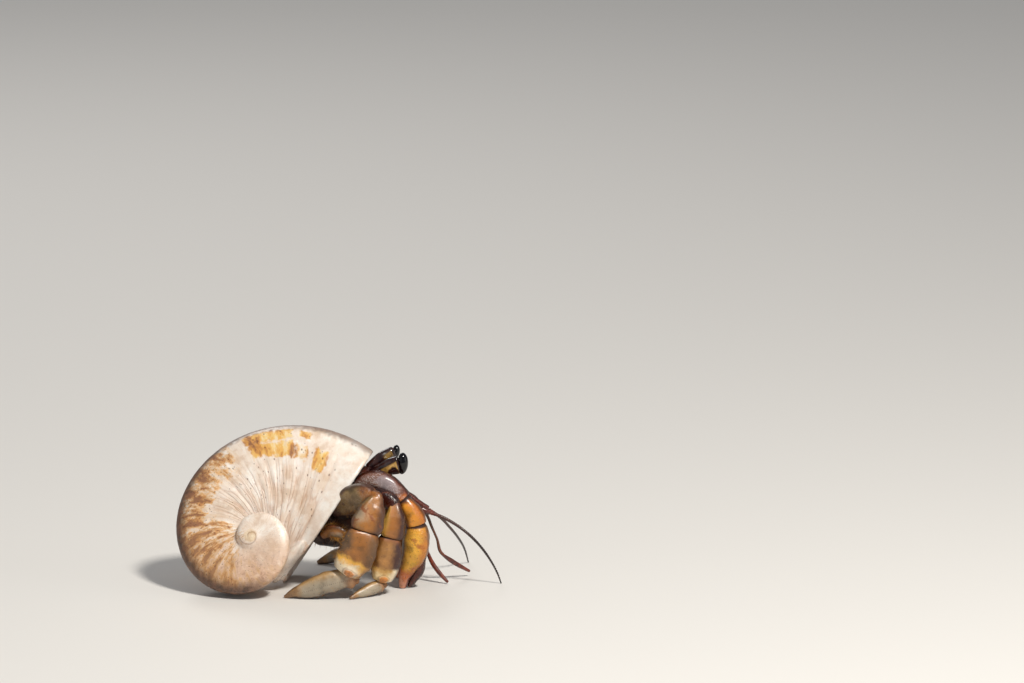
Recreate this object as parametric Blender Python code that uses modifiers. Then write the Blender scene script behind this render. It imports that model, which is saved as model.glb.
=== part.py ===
"""Hermit crab walking in a moon-snail shell: the solids, in metres, +Z up, head towards +X."""

import bmesh
import bpy
import numpy as np
from mathutils import Vector

for old in list(bpy.data.objects):
    bpy.data.objects.remove(old)

# The shell, in millimetres until it is written. The spiral grows by WHORL each turn about AXIS.
WHORL = 4.79
APEX = np.array([-4.4, -10.2, 8.57])
LIP_LEAN = 56.35
SIGHT = 12.0
LEAN_X, LEAN_Y = -0.227, 0.287
OLDEST = -2.35
WALL = 0.13
FLARE_TURN = 0.13
CAVITY_TURN = 0.42
LIP_AHEAD = 7.3
TURN_STEPS = 90
AROUND = 60
VOXEL = 0.25
SHELL_KEEP = 0.04
MIDPLANE = -2.0
SIDES = 12

# The growing edge: across, away from the apex side, forwards, and how far older edges sit back.
EDGE = np.array([
    (3.0, 2.0, 7.25, 2.3), (6.4, 1.0, 7.3, 1.15), (10.9, 0.9, 7.31, 0.35), (15.4, 1.8, 7.31, 0.05),
    (18.35, 4.4, 7.31, 0), (17.3, 8.4, 7.31, 0), (13.4, 12.4, 7.31, 0), (8.3, 15.3, 7.31, 0),
    (3.2, 16.4, 7.31, 0), (-0.9, 15.3, 7.31, 0), (-2.8, 12.3, 7.25, 0), (-3.3, 9.0, 7.0, 0.2),
    (-2.6, 6.0, 6.8, 0.9), (-0.6, 3.7, 6.9, 1.9),
])

made = bpy.data.collections.new("crab")
cutters = bpy.data.collections.new("cutters")
bpy.context.scene.collection.children.link(made)
bpy.context.scene.collection.children.link(cutters)


def coat(name, colour, rough):
    mat = bpy.data.materials.new(name)
    mat.use_nodes = True
    bsdf = mat.node_tree.nodes["Principled BSDF"]
    bsdf.inputs["Base Color"].default_value = (*colour, 1)
    bsdf.inputs["Roughness"].default_value = rough
    return mat


SHELL_WHITE = coat("shell lime", (0.72, 0.58, 0.45), 0.45)
UMBER = coat("umber cuticle", (0.19, 0.07, 0.03), 0.35)
AMBER = coat("amber cuticle", (0.55, 0.27, 0.07), 0.4)
OCHRE = coat("ochre claw", (0.66, 0.36, 0.08), 0.4)
GREY = coat("grey dactyl", (0.36, 0.28, 0.2), 0.35)
DARK = coat("dark shield", (0.06, 0.025, 0.02), 0.35)
EYE = coat("black cornea", (0.006, 0.005, 0.006), 0.05)
RED = coat("red feeler", (0.16, 0.035, 0.02), 0.4)


def turned(points, axis, angle):
    c, s = np.cos(angle), np.sin(angle)
    along = (points @ axis)[..., None] * axis
    return points * c + np.cross(axis, points) * s + along * (1 - c)


def edge_at(turn, count, inset=0.0):
    """The growing edge at a moment of growth, as a ring of points round the aperture."""
    young = np.clip(1 + turn / FLARE_TURN, 0, 1)
    young = young * young * (3 - 2 * young)
    knots = EDGE[:, :3].copy()
    knots[:, 2] -= EDGE[:, 3] * (1 - young)
    knots[:, 0] -= 0.35 * EDGE[:, 3] * (1 - young)
    n = len(knots)
    t = np.linspace(0, n, count, endpoint=False)
    i = t.astype(int)
    f = (t - i)[:, None]
    a, b, c, d = knots[(i - 1) % n], knots[i % n], knots[(i + 1) % n], knots[(i + 2) % n]
    ring = 0.5 * (2 * b + (c - a) * f + (2 * a - 5 * b + 4 * c - d) * f**2
                  + (3 * b - a - 3 * c + d) * f**3)
    middle = np.array([12.5, 9.0, ring[:, 2].mean()])
    ring = middle + (ring - middle) * (1 - inset)
    lean, sight = np.radians(LIP_LEAN), np.radians(SIGHT)
    right = np.array([1.0, 0, 0])
    up = np.array([0, np.sin(sight), np.cos(sight)])
    near = np.array([0, -np.cos(sight), np.sin(sight)])
    across = np.cos(lean) * right + np.sin(lean) * up
    forward = np.sin(lean) * right - np.cos(lean) * up
    axis = LEAN_X * right + LEAN_Y * up + np.sqrt(1 - LEAN_X**2 - LEAN_Y**2) * near
    points = ring[:, :1] * across - ring[:, 1:2] * near + ring[:, 2:3] * forward
    return turned(points, axis, -turn * 2 * np.pi) * WHORL**turn, forward


def solid(name, rings, mat, where=made, clip=True):
    """A closed skin through rings of points, with a fan over each end."""
    bm = bmesh.new()
    loops = []
    for ring in rings:
        ring = np.array(ring, float)
        if clip:
            ring[:, 2] = np.maximum(ring[:, 2], 0)
        loops.append([bm.verts.new(p * 0.001) for p in ring])
    count = len(loops[0])
    for low, high in zip(loops, loops[1:]):
        for k in range(count):
            bm.faces.new((low[k], low[(k + 1) % count], high[(k + 1) % count], high[k]))
    for loop, flip in ((loops[0], True), (loops[-1], False)):
        hub = bm.verts.new(sum((v.co for v in loop), loop[0].co * 0) / count)
        for k in range(count):
            pair = (loop[(k + 1) % count], loop[k]) if flip else (loop[k], loop[(k + 1) % count])
            bm.faces.new((hub, *pair))
    bmesh.ops.recalc_face_normals(bm, faces=bm.faces[:])
    mesh = bpy.data.meshes.new(name)
    bm.to_mesh(mesh)
    bm.free()
    obj = bpy.data.objects.new(name, mesh)
    mesh.materials.append(mat)
    where.objects.link(obj)
    return obj


def limb(name, mat, stations, side=(0, 1, 0), sides=SIDES, where=made, clip=True):
    """A limb piece through stations (x, y, z, half width, half depth); depth lies along side."""
    s = np.array(stations, float)
    centre = s[:, :3]
    run = np.gradient(centre, axis=0)
    rings = []
    for k, (p, t) in enumerate(zip(centre, run)):
        t = t / np.linalg.norm(t)
        deep = np.array(side, float)
        deep -= deep @ t * t
        deep /= np.linalg.norm(deep)
        wide = np.cross(t, deep)
        a = 2 * np.pi * np.arange(sides) / sides
        rings.append(p + s[k, 3] * np.cos(a)[:, None] * wide + s[k, 4] * np.sin(a)[:, None] * deep)
    return solid(name, rings, mat, where, clip)


def ball(name, mat, centre, half, rings=7, sides=14):
    rows = []
    for a in np.linspace(0.32, np.pi - 0.32, rings):
        b = 2 * np.pi * np.arange(sides) / sides
        rows.append(np.c_[centre[0] + half[0] * np.sin(a) * np.cos(b),
                          centre[1] + half[1] * np.sin(a) * np.sin(b),
                          np.full(sides, centre[2] - half[2] * np.cos(a))])
    return solid(name, rows, mat)


def box_cutter(name, low, high):
    bm = bmesh.new()
    bmesh.ops.create_cube(bm, size=1.0)
    low, high = np.array(low) * 0.001, np.array(high) * 0.001
    for v in bm.verts:
        v.co = [(low[i] + high[i]) / 2 + v.co[i] * (high[i] - low[i]) for i in range(3)]
    mesh = bpy.data.meshes.new(name)
    bm.to_mesh(mesh)
    bm.free()
    obj = bpy.data.objects.new(name, mesh)
    cutters.objects.link(obj)
    return obj


# The shell: one tube wound from the apex to the lip, run on a little so that the lip can be cut.
turns = OLDEST * np.linspace(1, 0, TURN_STEPS) ** 1.15
rows = [edge_at(t, AROUND)[0] + APEX for t in turns]
lip, forward = edge_at(0, AROUND)
rows.append(lip + APEX + 0.6 * forward)
shell = solid("shell", rows, SHELL_WHITE, clip=False)

# The callus ridge along the inner lip, where the edge crosses the older whorl.
path = [lip[round(AROUND * k / 14) % AROUND] for k in (10.6, 11.2, 11.8, 12.4, 13.0, 13.5, 14.0)]
thick = (0.4, 0.8, 1.1, 1.3, 1.2, 0.85, 0.35)
ridge = [(*(p + APEX - 1.1 * forward), r, r) for p, r in zip(path, thick)]
pad = limb("callus_ridge", SHELL_WHITE, ridge, side=forward, sides=14, where=cutters, clip=False)
bm = bmesh.new()
bm.from_mesh(shell.data)
bm.from_mesh(pad.data)
bm.to_mesh(shell.data)
bm.free()
bpy.data.objects.remove(pad)

# What is cut away: all beyond the plane of the lip, the hollow behind it, and below the floor.
rows = [edge_at(t, 36, WALL)[0] + APEX for t in np.linspace(-CAVITY_TURN, 0, 13)]
rows.append(edge_at(0, 36, WALL)[0] + APEX + 2.5 * forward)
hollow = solid("hollow_cutter", rows, SHELL_WHITE, where=cutters, clip=False)
floor = box_cutter("floor_cutter", (-30, -30, -6), (40, 30, 0))
front = box_cutter("lip_cutter", (0, -40, -40), (30, 40, 40))
front.location = (APEX + LIP_AHEAD * forward) * 0.001
front.rotation_mode = "QUATERNION"
front.rotation_quaternion = Vector((1, 0, 0)).rotation_difference(Vector(forward))
for tool in (hollow, floor, front):
    tool.hide_render = True
    tool.display_type = "WIRE"

skin = shell.modifiers.new("one_skin", "REMESH")
skin.mode = "VOXEL"
skin.voxel_size = VOXEL * 0.001
fewer = shell.modifiers.new("fewer_faces", "DECIMATE")
fewer.ratio = SHELL_KEEP
for tool in (hollow, front, floor):
    cut = shell.modifiers.new(tool.name, "BOOLEAN")
    cut.operation = "DIFFERENCE"
    cut.solver = "EXACT"
    cut.object = tool

# The soft abdomen, coiled inside the shell.
rows = [edge_at(t, 14, 0.42)[0] + APEX for t in np.linspace(-0.34, -0.11, 9)]
solid("abdomen", rows, UMBER)

# The body between the legs, and the hard shield above it.
limb("trunk", UMBER, [(2.9, -2, 8.6, 1.2, 0.8), (4.6, -2, 8.6, 2.8, 1.3), (7.4, -2, 9.6, 3.5, 1.4),
                      (10.4, -2, 10.6, 3.3, 1.6), (12.5, -2, 11.1, 2.1, 1.3), (13.2, -2, 11.3, 1.1, 0.8)])
limb("shield", DARK, [(6.6, -2, 14.5, 0.4, 1.1), (8.2, -2, 14.9, 0.65, 1.8), (10.3, -2, 15.2, 0.75, 2.0),
                      (11.3, -2, 15.2, 0.6, 1.6), (11.8, -2, 15.1, 0.35, 0.9)])

# The eyes: stalks flattened side to side, with a black cornea capping each.
limb("eyestalk_right", DARK, [(12.1, -2.9, 15.75, 0.5, 0.45), (13.4, -3.05, 16.1, 0.8, 0.6),
                              (14.5, -3.2, 16.45, 1.1, 0.7), (14.85, -3.25, 16.55, 1.05, 0.66)])
ball("cornea_right", EYE, (15.9, -3.35, 16.85), (0.8, 0.84, 1.42))
limb("eyestalk_left", DARK, [(12.0, -0.95, 16.15, 0.5, 0.42), (12.6, -0.75, 16.35, 0.75, 0.55),
                             (13.6, -0.3, 17.0, 0.98, 0.65), (14.0, -0.15, 17.2, 0.9, 0.6)])
ball("cornea_left", EYE, (14.85, 0.25, 17.6), (0.6, 0.7, 0.98))

# The right claw, the near and smaller one.
limb("claw_right_ischium", UMBER, [(8.2, -4.5, 12.4, 0.6, 0.5), (8.8, -4.6, 12.8, 0.9, 0.7),
                                   (9.6, -4.75, 13.35, 0.85, 0.7)])
limb("claw_right_merus", UMBER, [(10.1, -4.9, 14.1, 0.9, 0.75), (11.3, -5.2, 14.85, 1.2, 1.1),
                                 (13.0, -5.4, 14.95, 1.35, 1.25), (14.6, -5.8, 13.95, 1.3, 1.2),
                                 (15.7, -6.0, 12.8, 1.05, 0.9)])
limb("claw_right_carpus", OCHRE, [(16.25, -6.05, 12.1, 0.85, 0.85), (16.85, -6.1, 11.3, 1.25, 1.25),
                                  (17.5, -6.1, 10.1, 1.45, 1.45), (17.75, -6.1, 9.25, 1.3, 1.25)])
limb("claw_right_palm", OCHRE, [(17.8, -6.1, 8.8, 1.25, 1.25), (17.85, -6.05, 7.9, 1.65, 1.6),
                                (17.7, -5.9, 6.2, 1.75, 1.75), (17.25, -5.65, 4.6, 1.42, 1.5),
                                (16.6, -5.35, 3.2, 0.85, 1.0), (16.1, -5.0, 1.7, 0.65, 0.75),
                                (15.85, -4.75, 0.0, 0.45, 0.45)])
limb("claw_right_dactyl", UMBER, [(18.65, -4.95, 3.6, 0.42, 0.5), (18.4, -4.85, 2.9, 0.62, 0.66),
                                  (17.85, -4.7, 1.7, 0.55, 0.6), (17.2, -4.5, 0.75, 0.38, 0.42),
                                  (16.9, -4.36, -0.05, 0.32, 0.32)])

# The left claw, the far and larger one.
limb("claw_left_ischium", UMBER, [(8.5, 0.35, 11.3, 0.7, 0.5), (9.1, 0.5, 11.5, 1.0, 0.75),
                                  (9.9, 0.65, 11.8, 0.9, 0.7)])
limb("claw_left_merus", UMBER, [(10.5, 0.8, 11.95, 1.0, 0.8), (12.0, 1.4, 12.2, 1.5, 1.25),
                                (13.6, 1.8, 11.85, 1.6, 1.35), (14.5, 2.0, 11.3, 1.15, 1.0)])
limb("claw_left_carpus", AMBER, [(15.2, 2.1, 10.8, 1.05, 1.0), (15.9, 2.2, 10.2, 1.65, 1.55),
                                 (16.7, 2.2, 9.15, 1.8, 1.75), (17.0, 2.2, 8.4, 1.35, 1.35)])
limb("claw_left_palm", AMBER, [(17.1, 2.2, 7.75, 1.35, 1.4), (17.1, 2.15, 6.9, 1.9, 2.1),
                               (16.9, 1.95, 5.5, 1.95, 2.3), (16.4, 1.65, 4.0, 1.45, 1.85),
                               (15.9, 1.2, 2.6, 0.85, 1.1), (15.5, 0.8, 1.3, 0.6, 0.75),
                               (15.25, 0.42, 0.0, 0.42, 0.45)])
limb("claw_left_dactyl", UMBER, [(18.7, 1.95, 3.9, 0.42, 0.6), (18.55, 1.75, 3.1, 0.6, 0.85),
                                 (17.95, 1.35, 1.9, 0.5, 0.7), (17.2, 0.9, 0.9, 0.38, 0.5),
                                 (16.45, 0.55, -0.05, 0.32, 0.36)])

# The second legs.
limb("leg2_right_ischium", UMBER, [(7.4, -4.4, 10.0, 0.6, 0.45), (8.2, -4.5, 10.3, 0.9, 0.6),
                                   (9.2, -4.75, 10.8, 0.85, 0.6)])
limb("leg2_right_merus", UMBER, [(9.8, -5.1, 11.5, 0.85, 0.7), (11.4, -6.0, 12.0, 1.15, 0.95),
                                 (13.0, -6.85, 12.3, 1.2, 1.0), (14.0, -7.4, 12.2, 0.95, 0.8)])
limb("leg2_right_carpus", AMBER, [(14.85, -8.05, 11.7, 0.85, 0.75), (14.9, -8.3, 10.7, 1.35, 1.1),
                                  (14.7, -8.5, 9.4, 1.55, 1.2), (14.5, -8.6, 8.35, 1.45, 1.05)])
limb("leg2_right_propodus", AMBER, [(14.35, -8.65, 7.85, 1.35, 1.0), (14.15, -8.7, 6.9, 1.75, 1.3),
                                    (13.9, -8.75, 5.2, 1.9, 1.35), (13.5, -8.8, 3.2, 1.7, 1.2),
                                    (13.3, -8.8, 2.25, 1.25, 0.95)])
limb("leg2_right_dactylus", GREY, [(13.2, -8.9, 1.25, 0.5, 0.55), (12.4, -9.2, 1.05, 0.72, 0.7),
                                   (10.8, -10.2, 0.7, 0.66, 0.6), (9.0, -11.5, 0.12, 0.3, 0.3)])
limb("leg2_left_ischium", UMBER, [(7.6, 0.2, 8.6, 0.6, 0.45), (8.4, 0.4, 8.8, 0.85, 0.6),
                                  (9.3, 0.7, 9.1, 0.75, 0.6)])
limb("leg2_left_merus", UMBER, [(9.9, 1.1, 9.2, 0.85, 0.7), (11.6, 2.5, 9.3, 1.15, 1.0),
                                (13.3, 4.1, 10.0, 1.15, 1.0), (14.1, 4.9, 10.4, 0.85, 0.7)])
limb("leg2_left_carpus", AMBER, [(14.95, 6.0, 10.4, 0.8, 0.7), (15.3, 6.5, 9.5, 1.4, 1.1),
                                 (15.4, 6.8, 8.3, 1.55, 1.2), (15.4, 6.9, 7.5, 1.2, 0.9)])
limb("leg2_left_propodus", AMBER, [(15.4, 6.95, 7.05, 1.2, 0.9), (15.35, 7.0, 6.1, 1.7, 1.25),
                                   (15.2, 7.1, 4.6, 1.7, 1.25), (14.9, 7.2, 3.1, 1.4, 1.05),
                                   (14.75, 7.25, 2.55, 0.95, 0.8)])
limb("leg2_left_dactylus", GREY, [(14.7, 7.5, 1.5, 0.55, 0.55), (14.0, 7.9, 1.3, 0.8, 0.7),
                                  (12.5, 9.1, 0.75, 0.66, 0.6), (11.1, 10.3, 0.12, 0.3, 0.3)])

# The third legs: broad, with long blade-like dactyls trailing on the sand.
limb("leg3_right_ischium", UMBER, [(4.2, -4.5, 8.9, 0.7, 0.5), (5.2, -4.9, 9.5, 1.1, 0.75),
                                   (6.2, -5.4, 10.1, 0.95, 0.7)])
limb("leg3_right_merus", AMBER, [(7.2, -6.1, 10.9, 0.9, 0.6), (8.6, -7.15, 11.9, 1.4, 0.85),
                                 (10.1, -8.45, 13.3, 1.75, 1.05), (11.2, -9.3, 13.8, 1.1, 0.85)])
limb("leg3_right_carpus", AMBER, [(12.2, -10.3, 13.4, 0.8, 0.75), (12.0, -10.6, 12.5, 1.55, 1.2),
                                  (11.65, -10.9, 11.3, 1.95, 1.5), (11.15, -11.1, 9.95, 2.0, 1.4)])
limb("leg3_right_propodus", AMBER, [(10.95, -11.15, 9.4, 1.85, 1.3), (10.65, -11.25, 8.4, 2.3, 1.6),
                                    (10.05, -11.3, 6.7, 2.5, 1.7), (9.15, -11.35, 4.95, 2.35, 1.6),
                                    (8.6, -11.35, 3.95, 1.8, 1.2)])
limb("leg3_right_dactylus", GREY, [(9.75, -11.2, 2.65, 0.5, 0.6), (8.3, -11.2, 2.7, 1.05, 0.95),
                                   (6.2, -11.15, 2.3, 1.5, 1.0), (3.5, -11.0, 1.35, 1.3, 0.85),
                                   (1.5, -10.8, 0.75, 0.75, 0.5), (0.3, -10.6, 0.12, 0.32, 0.32)])
limb("leg3_left_ischium", UMBER, [(4.4, 0.3, 7.2, 0.6, 0.45), (5.4, 0.6, 7.5, 0.9, 0.65),
                                  (6.4, 1.0, 7.8, 0.8, 0.6)])
limb("leg3_left_merus", AMBER, [(7.0, 1.4, 8.1, 1.0, 0.75), (8.7, 3.2, 8.4, 1.25, 1.0),
                                (10.6, 5.3, 9.7, 1.35, 1.1), (11.5, 6.2, 10.3, 0.95, 0.8)])
limb("leg3_left_carpus", AMBER, [(12.2, 7.2, 10.5, 0.85, 0.8), (12.4, 7.7, 9.6, 1.3, 1.15),
                                 (12.1, 8.1, 8.5, 1.6, 1.3), (11.9, 8.3, 7.8, 1.3, 1.0)])
limb("leg3_left_propodus", AMBER, [(11.8, 8.4, 7.3, 1.3, 1.0), (11.6, 8.6, 6.4, 1.65, 1.35),
                                   (11.1, 8.8, 5.0, 1.7, 1.4), (10.5, 8.9, 3.8, 1.45, 1.2),
                                   (10.2, 8.9, 3.3, 1.0, 0.8)])
limb("leg3_left_dactylus", GREY, [(10.6, 9.1, 2.0, 0.55, 0.6), (9.6, 9.2, 1.95, 0.85, 0.8),
                                  (7.8, 9.4, 1.4, 0.95, 0.75), (5.9, 9.5, 0.8, 0.75, 0.55),
                                  (4.3, 9.4, 0.12, 0.32, 0.32)])

# The short fourth legs, tucked at the shell's edge.
limb("leg4_right", AMBER, [(5.3, -6.0, 7.3, 0.4, 0.4), (6.4, -6.6, 7.9, 0.62, 0.55),
                           (7.7, -7.0, 7.9, 0.55, 0.5), (8.6, -7.1, 7.3, 0.35, 0.35)], sides=10)
limb("leg4_left", AMBER, [(5.2, 1.6, 5.6, 0.4, 0.4), (6.3, 2.1, 5.9, 0.6, 0.55),
                          (7.6, 2.4, 5.7, 0.55, 0.5), (8.4, 2.5, 5.1, 0.35, 0.35)], sides=10)

# Mouthparts, hanging between the claws.
for word, out in (("right", -1), ("left", 1)):
    y = MIDPLANE + out * 0.75
    limb("maxilliped_" + word, AMBER, [(13.7, y, 10.4, 0.5, 0.45), (14.8, y + out * 0.1, 9.5, 0.75, 0.55),
                                       (15.6, y, 8.0, 0.6, 0.5), (15.8, y, 6.6, 0.35, 0.35)], sides=10)

# The feelers: antennae with long tapering lashes, antennules with a blunt red end piece.
limb("antenna_right_base", RED, [(13.9, -3.3, 13.0, 0.4, 0.35), (15.4, -3.4, 12.2, 0.55, 0.45),
                                 (17.3, -3.4, 10.95, 0.5, 0.42), (19.2, -3.25, 10.2, 0.42, 0.38)], sides=8)
limb("antenna_right_lash", RED, [(19.7, -3.2, 10.0, 0.3, 0.3), (22.0, -3.0, 8.95, 0.28, 0.28),
                                 (24.2, -2.9, 7.5, 0.27, 0.27), (26.0, -2.8, 5.75, 0.26, 0.26),
                                 (27.7, -2.6, 3.4, 0.25, 0.25), (28.7, -2.3, 1.4, 0.25, 0.25),
                                 (29.1, -2.1, 0.02, 0.25, 0.25)], sides=8)
limb("antenna_left_base", RED, [(13.9, -0.75, 13.2, 0.4, 0.35), (15.4, -0.6, 12.5, 0.6, 0.45),
                                (17.4, -0.4, 11.0, 0.5, 0.42), (19.2, -0.2, 9.9, 0.38, 0.35)], sides=8)
limb("antenna_left_lash", RED, [(19.6, 0.0, 9.65, 0.3, 0.3), (20.9, 0.9, 8.5, 0.28, 0.28),
                                (22.2, 2.7, 6.7, 0.27, 0.27), (23.4, 5.1, 4.6, 0.26, 0.26),
                                (24.2, 7.8, 2.5, 0.25, 0.25), (24.7, 10.4, 0.04, 0.25, 0.25)], sides=8)
limb("antennule_right_base", RED, [(14.0, -2.45, 13.8, 0.35, 0.3), (16.6, -2.45, 12.2, 0.36, 0.28),
                                   (18.9, -2.5, 10.4, 0.33, 0.28), (19.8, -2.1, 8.2, 0.3, 0.28),
                                   (20.6, -1.5, 6.2, 0.3, 0.28), (21.1, -1.0, 4.1, 0.3, 0.28)],
     side=(0.3, 1, 0), sides=8)
limb("antennule_right_end", RED, [(21.5, -0.7, 3.5, 0.32, 0.32), (22.6, 0.2, 2.5, 0.4, 0.34),
                                  (23.8, 1.2, 1.5, 0.36, 0.34), (24.8, 2.0, 0.8, 0.3, 0.3)], sides=8)
limb("antennule_left_base", RED, [(14.0, -1.55, 14.1, 0.35, 0.3), (16.3, -1.5, 12.4, 0.35, 0.28),
                                  (17.8, -1.4, 10.0, 0.33, 0.28), (18.5, -1.3, 7.4, 0.3, 0.28),
                                  (18.95, -1.25, 5.0, 0.3, 0.28)], side=(0.3, 1, 0), sides=8)
limb("antennule_left_end", RED, [(19.25, -1.3, 4.2, 0.32, 0.32), (19.8, -1.5, 2.9, 0.38, 0.34),
                                 (20.8, -1.95, 1.5, 0.38, 0.34), (21.9, -2.4, 0.45, 0.3, 0.3)], sides=8)
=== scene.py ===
"""Hermit crab walking in a moon-snail shell: lime, cuticle, eyes, feelers and bristles, in metres."""

import math
import random

import bmesh
import bpy
import numpy as np
from mathutils import Matrix, Vector, noise
from mathutils.kdtree import KDTree


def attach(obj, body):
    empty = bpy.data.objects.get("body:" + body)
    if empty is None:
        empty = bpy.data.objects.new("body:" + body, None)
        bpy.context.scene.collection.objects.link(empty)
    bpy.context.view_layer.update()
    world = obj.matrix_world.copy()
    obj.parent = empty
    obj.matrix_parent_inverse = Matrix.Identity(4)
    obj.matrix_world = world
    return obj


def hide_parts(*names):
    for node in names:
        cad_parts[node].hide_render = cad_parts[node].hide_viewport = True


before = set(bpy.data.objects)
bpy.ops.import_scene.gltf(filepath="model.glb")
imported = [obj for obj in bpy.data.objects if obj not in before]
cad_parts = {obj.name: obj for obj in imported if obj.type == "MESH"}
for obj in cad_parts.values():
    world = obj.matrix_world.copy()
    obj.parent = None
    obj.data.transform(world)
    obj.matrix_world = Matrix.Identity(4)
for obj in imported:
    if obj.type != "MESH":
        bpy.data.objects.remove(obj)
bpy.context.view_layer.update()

# ---------------------------------------------------------------------------------------------------
# The shell. A moon snail's shell is one tube of lime that grows at its lip while it turns about the
# apex, each edge a slightly larger copy of the last. The sheet is drawn the same way, edge by edge,
# with its thin lip, its hollow and the callus ridge, and is then fused into one closed skin.
MM = 0.001
WHORL = 4.79  # how much larger each whole turn makes the edge
APEX = np.array([-4.4, -10.2, 8.57])
LIP_LEAN, SIGHT = math.radians(56.35), math.radians(12.0)
LEAN_X, LEAN_Y = -0.227, 0.287  # the coil's axis, off the line of sight
FLARE_TURN, FLARE_BACK = 0.13, 0.35  # the last edges spread out and back over this much of a turn
HOLLOW_TURN, HOLLOW_RINGS, HOLLOW_START = 0.42, 40, 0.004
HOLLOW_INSET, HOLLOW_NARROWS, NARROWS_TURN = 0.1, 0.05, 0.1
AROUND, LAST_RINGS, OLD_RINGS = 84, 170, 60
FIRST_TURN, OLD_TURN = -2.9, -1.2
SKIN_PITCH = 0.184
EDGE = np.array([  # across the lip, away from the eye, ahead of the apex, and the flare there
    (3.0, 2.0, 7.25, 2.3), (6.4, 1.0, 7.3, 1.15), (10.9, 0.9, 7.31, 0.35), (15.4, 1.8, 7.31, 0.05),
    (18.35, 4.4, 7.31, 0), (17.3, 8.4, 7.31, 0), (13.4, 12.4, 7.31, 0), (8.3, 15.3, 7.31, 0),
    (3.2, 16.4, 7.31, 0), (-0.9, 15.3, 7.31, 0), (-2.8, 12.3, 7.25, 0), (-3.3, 9.0, 7.0, 0.2),
    (-2.6, 6.0, 6.8, 0.9), (-0.6, 3.7, 6.9, 1.9),
])
KNOTS = len(EDGE)
MOUTH_MIDDLE = (12.5, 9.0)
LIP_ROLL = ((0.025, 0.22), (0.065, 0.24))  # inset and reach of the rounded lip
RIGHT = np.array([1.0, 0, 0])
UP = np.array([0, math.sin(SIGHT), math.cos(SIGHT)])
NEAR = np.array([0, -math.cos(SIGHT), math.sin(SIGHT)])
ACROSS = math.cos(LIP_LEAN) * RIGHT + math.sin(LIP_LEAN) * UP
FORWARD = math.sin(LIP_LEAN) * RIGHT - math.cos(LIP_LEAN) * UP
AXIS = LEAN_X * RIGHT + LEAN_Y * UP + math.sqrt(1 - LEAN_X**2 - LEAN_Y**2) * NEAR


def smooth(x, low, high):
    x = np.clip((np.asarray(x, float) - low) / (high - low), 0, 1)
    return x * x * (3 - 2 * x)


def within(x, low, high, soft):
    return smooth(x, low - soft, low) * (1 - smooth(x, high, high + soft))


def growing_edge(turn, inset=0.0, count=AROUND):
    """The shell's edge when it was turn turns old, in millimetres from the apex."""
    young = smooth(1 + turn / FLARE_TURN, 0, 1)
    knots = EDGE[:, :3].copy()
    knots[:, 2] -= EDGE[:, 3] * (1 - young)
    knots[:, 0] -= FLARE_BACK * EDGE[:, 3] * (1 - young)
    t = np.linspace(0, KNOTS, count, endpoint=False)
    i = t.astype(int)
    f = (t - i)[:, None]
    a, b, c, d = (knots[(i + step) % KNOTS] for step in (-1, 0, 1, 2))
    ring = 0.5 * (2 * b + (c - a) * f + (2 * a - 5 * b + 4 * c - d) * f**2
                  + (3 * b - a - 3 * c + d) * f**3)
    hub = np.array([*MOUTH_MIDDLE, ring[:, 2].mean()])
    ring = hub + (ring - hub) * (1 - inset)
    p = ring[:, :1] * ACROSS - ring[:, 1:2] * NEAR + ring[:, 2:3] * FORWARD
    angle = -turn * 2 * math.pi
    along = (p @ AXIS)[:, None] * AXIS
    p = p * math.cos(angle) + np.cross(AXIS, p) * math.sin(angle) + along * (1 - math.cos(angle))
    return p * WHORL**turn


def sweep(rings):
    """A circle extruded from ring to ring and drawn to a point at each end."""
    bm = bmesh.new()
    place = bm.verts.layers.int.new("place")
    step = bm.verts.layers.int.new("step")
    first = bmesh.ops.create_circle(bm, segments=len(rings[0]), radius=1)["verts"]
    for k, v in enumerate(first):
        v[place] = k
        v.co = rings[0][k]
    loop, edges = first, bm.edges[:]
    for i, ring in enumerate(rings[1:], 1):
        geom = bmesh.ops.extrude_edge_only(bm, edges=edges)["geom"]
        loop = [g for g in geom if isinstance(g, bmesh.types.BMVert)]
        for v in loop:
            v.co = ring[v[place]]
            v[step] = i
        fresh = set(loop)
        edges = [g for g in geom if isinstance(g, bmesh.types.BMEdge) and set(g.verts) <= fresh]
    for end, ring in ((first, rings[0]), (loop, rings[-1])):
        bmesh.ops.pointmerge(bm, verts=end, merge_co=Vector(np.mean(ring, axis=0)))
    bmesh.ops.recalc_face_normals(bm, faces=bm.faces[:])
    return bm


old_ages = FIRST_TURN + (OLD_TURN - FIRST_TURN) * np.linspace(0, 1, OLD_RINGS, endpoint=False)**0.8
ages = np.r_[old_ages, np.linspace(OLD_TURN, 0, LAST_RINGS)]
sheet = [growing_edge(t) for t in ages]
lip = sheet[-1]
sheet += [growing_edge(0, inset) + reach * FORWARD for inset, reach in LIP_ROLL]
inner_ages = np.linspace(-HOLLOW_START, -HOLLOW_TURN, HOLLOW_RINGS)
sheet += [growing_edge(t, HOLLOW_INSET + HOLLOW_NARROWS * min(1, -t / NARROWS_TURN))
          for t in inner_ages]
bm = sweep([(ring + APEX) * MM for ring in sheet])

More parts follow.
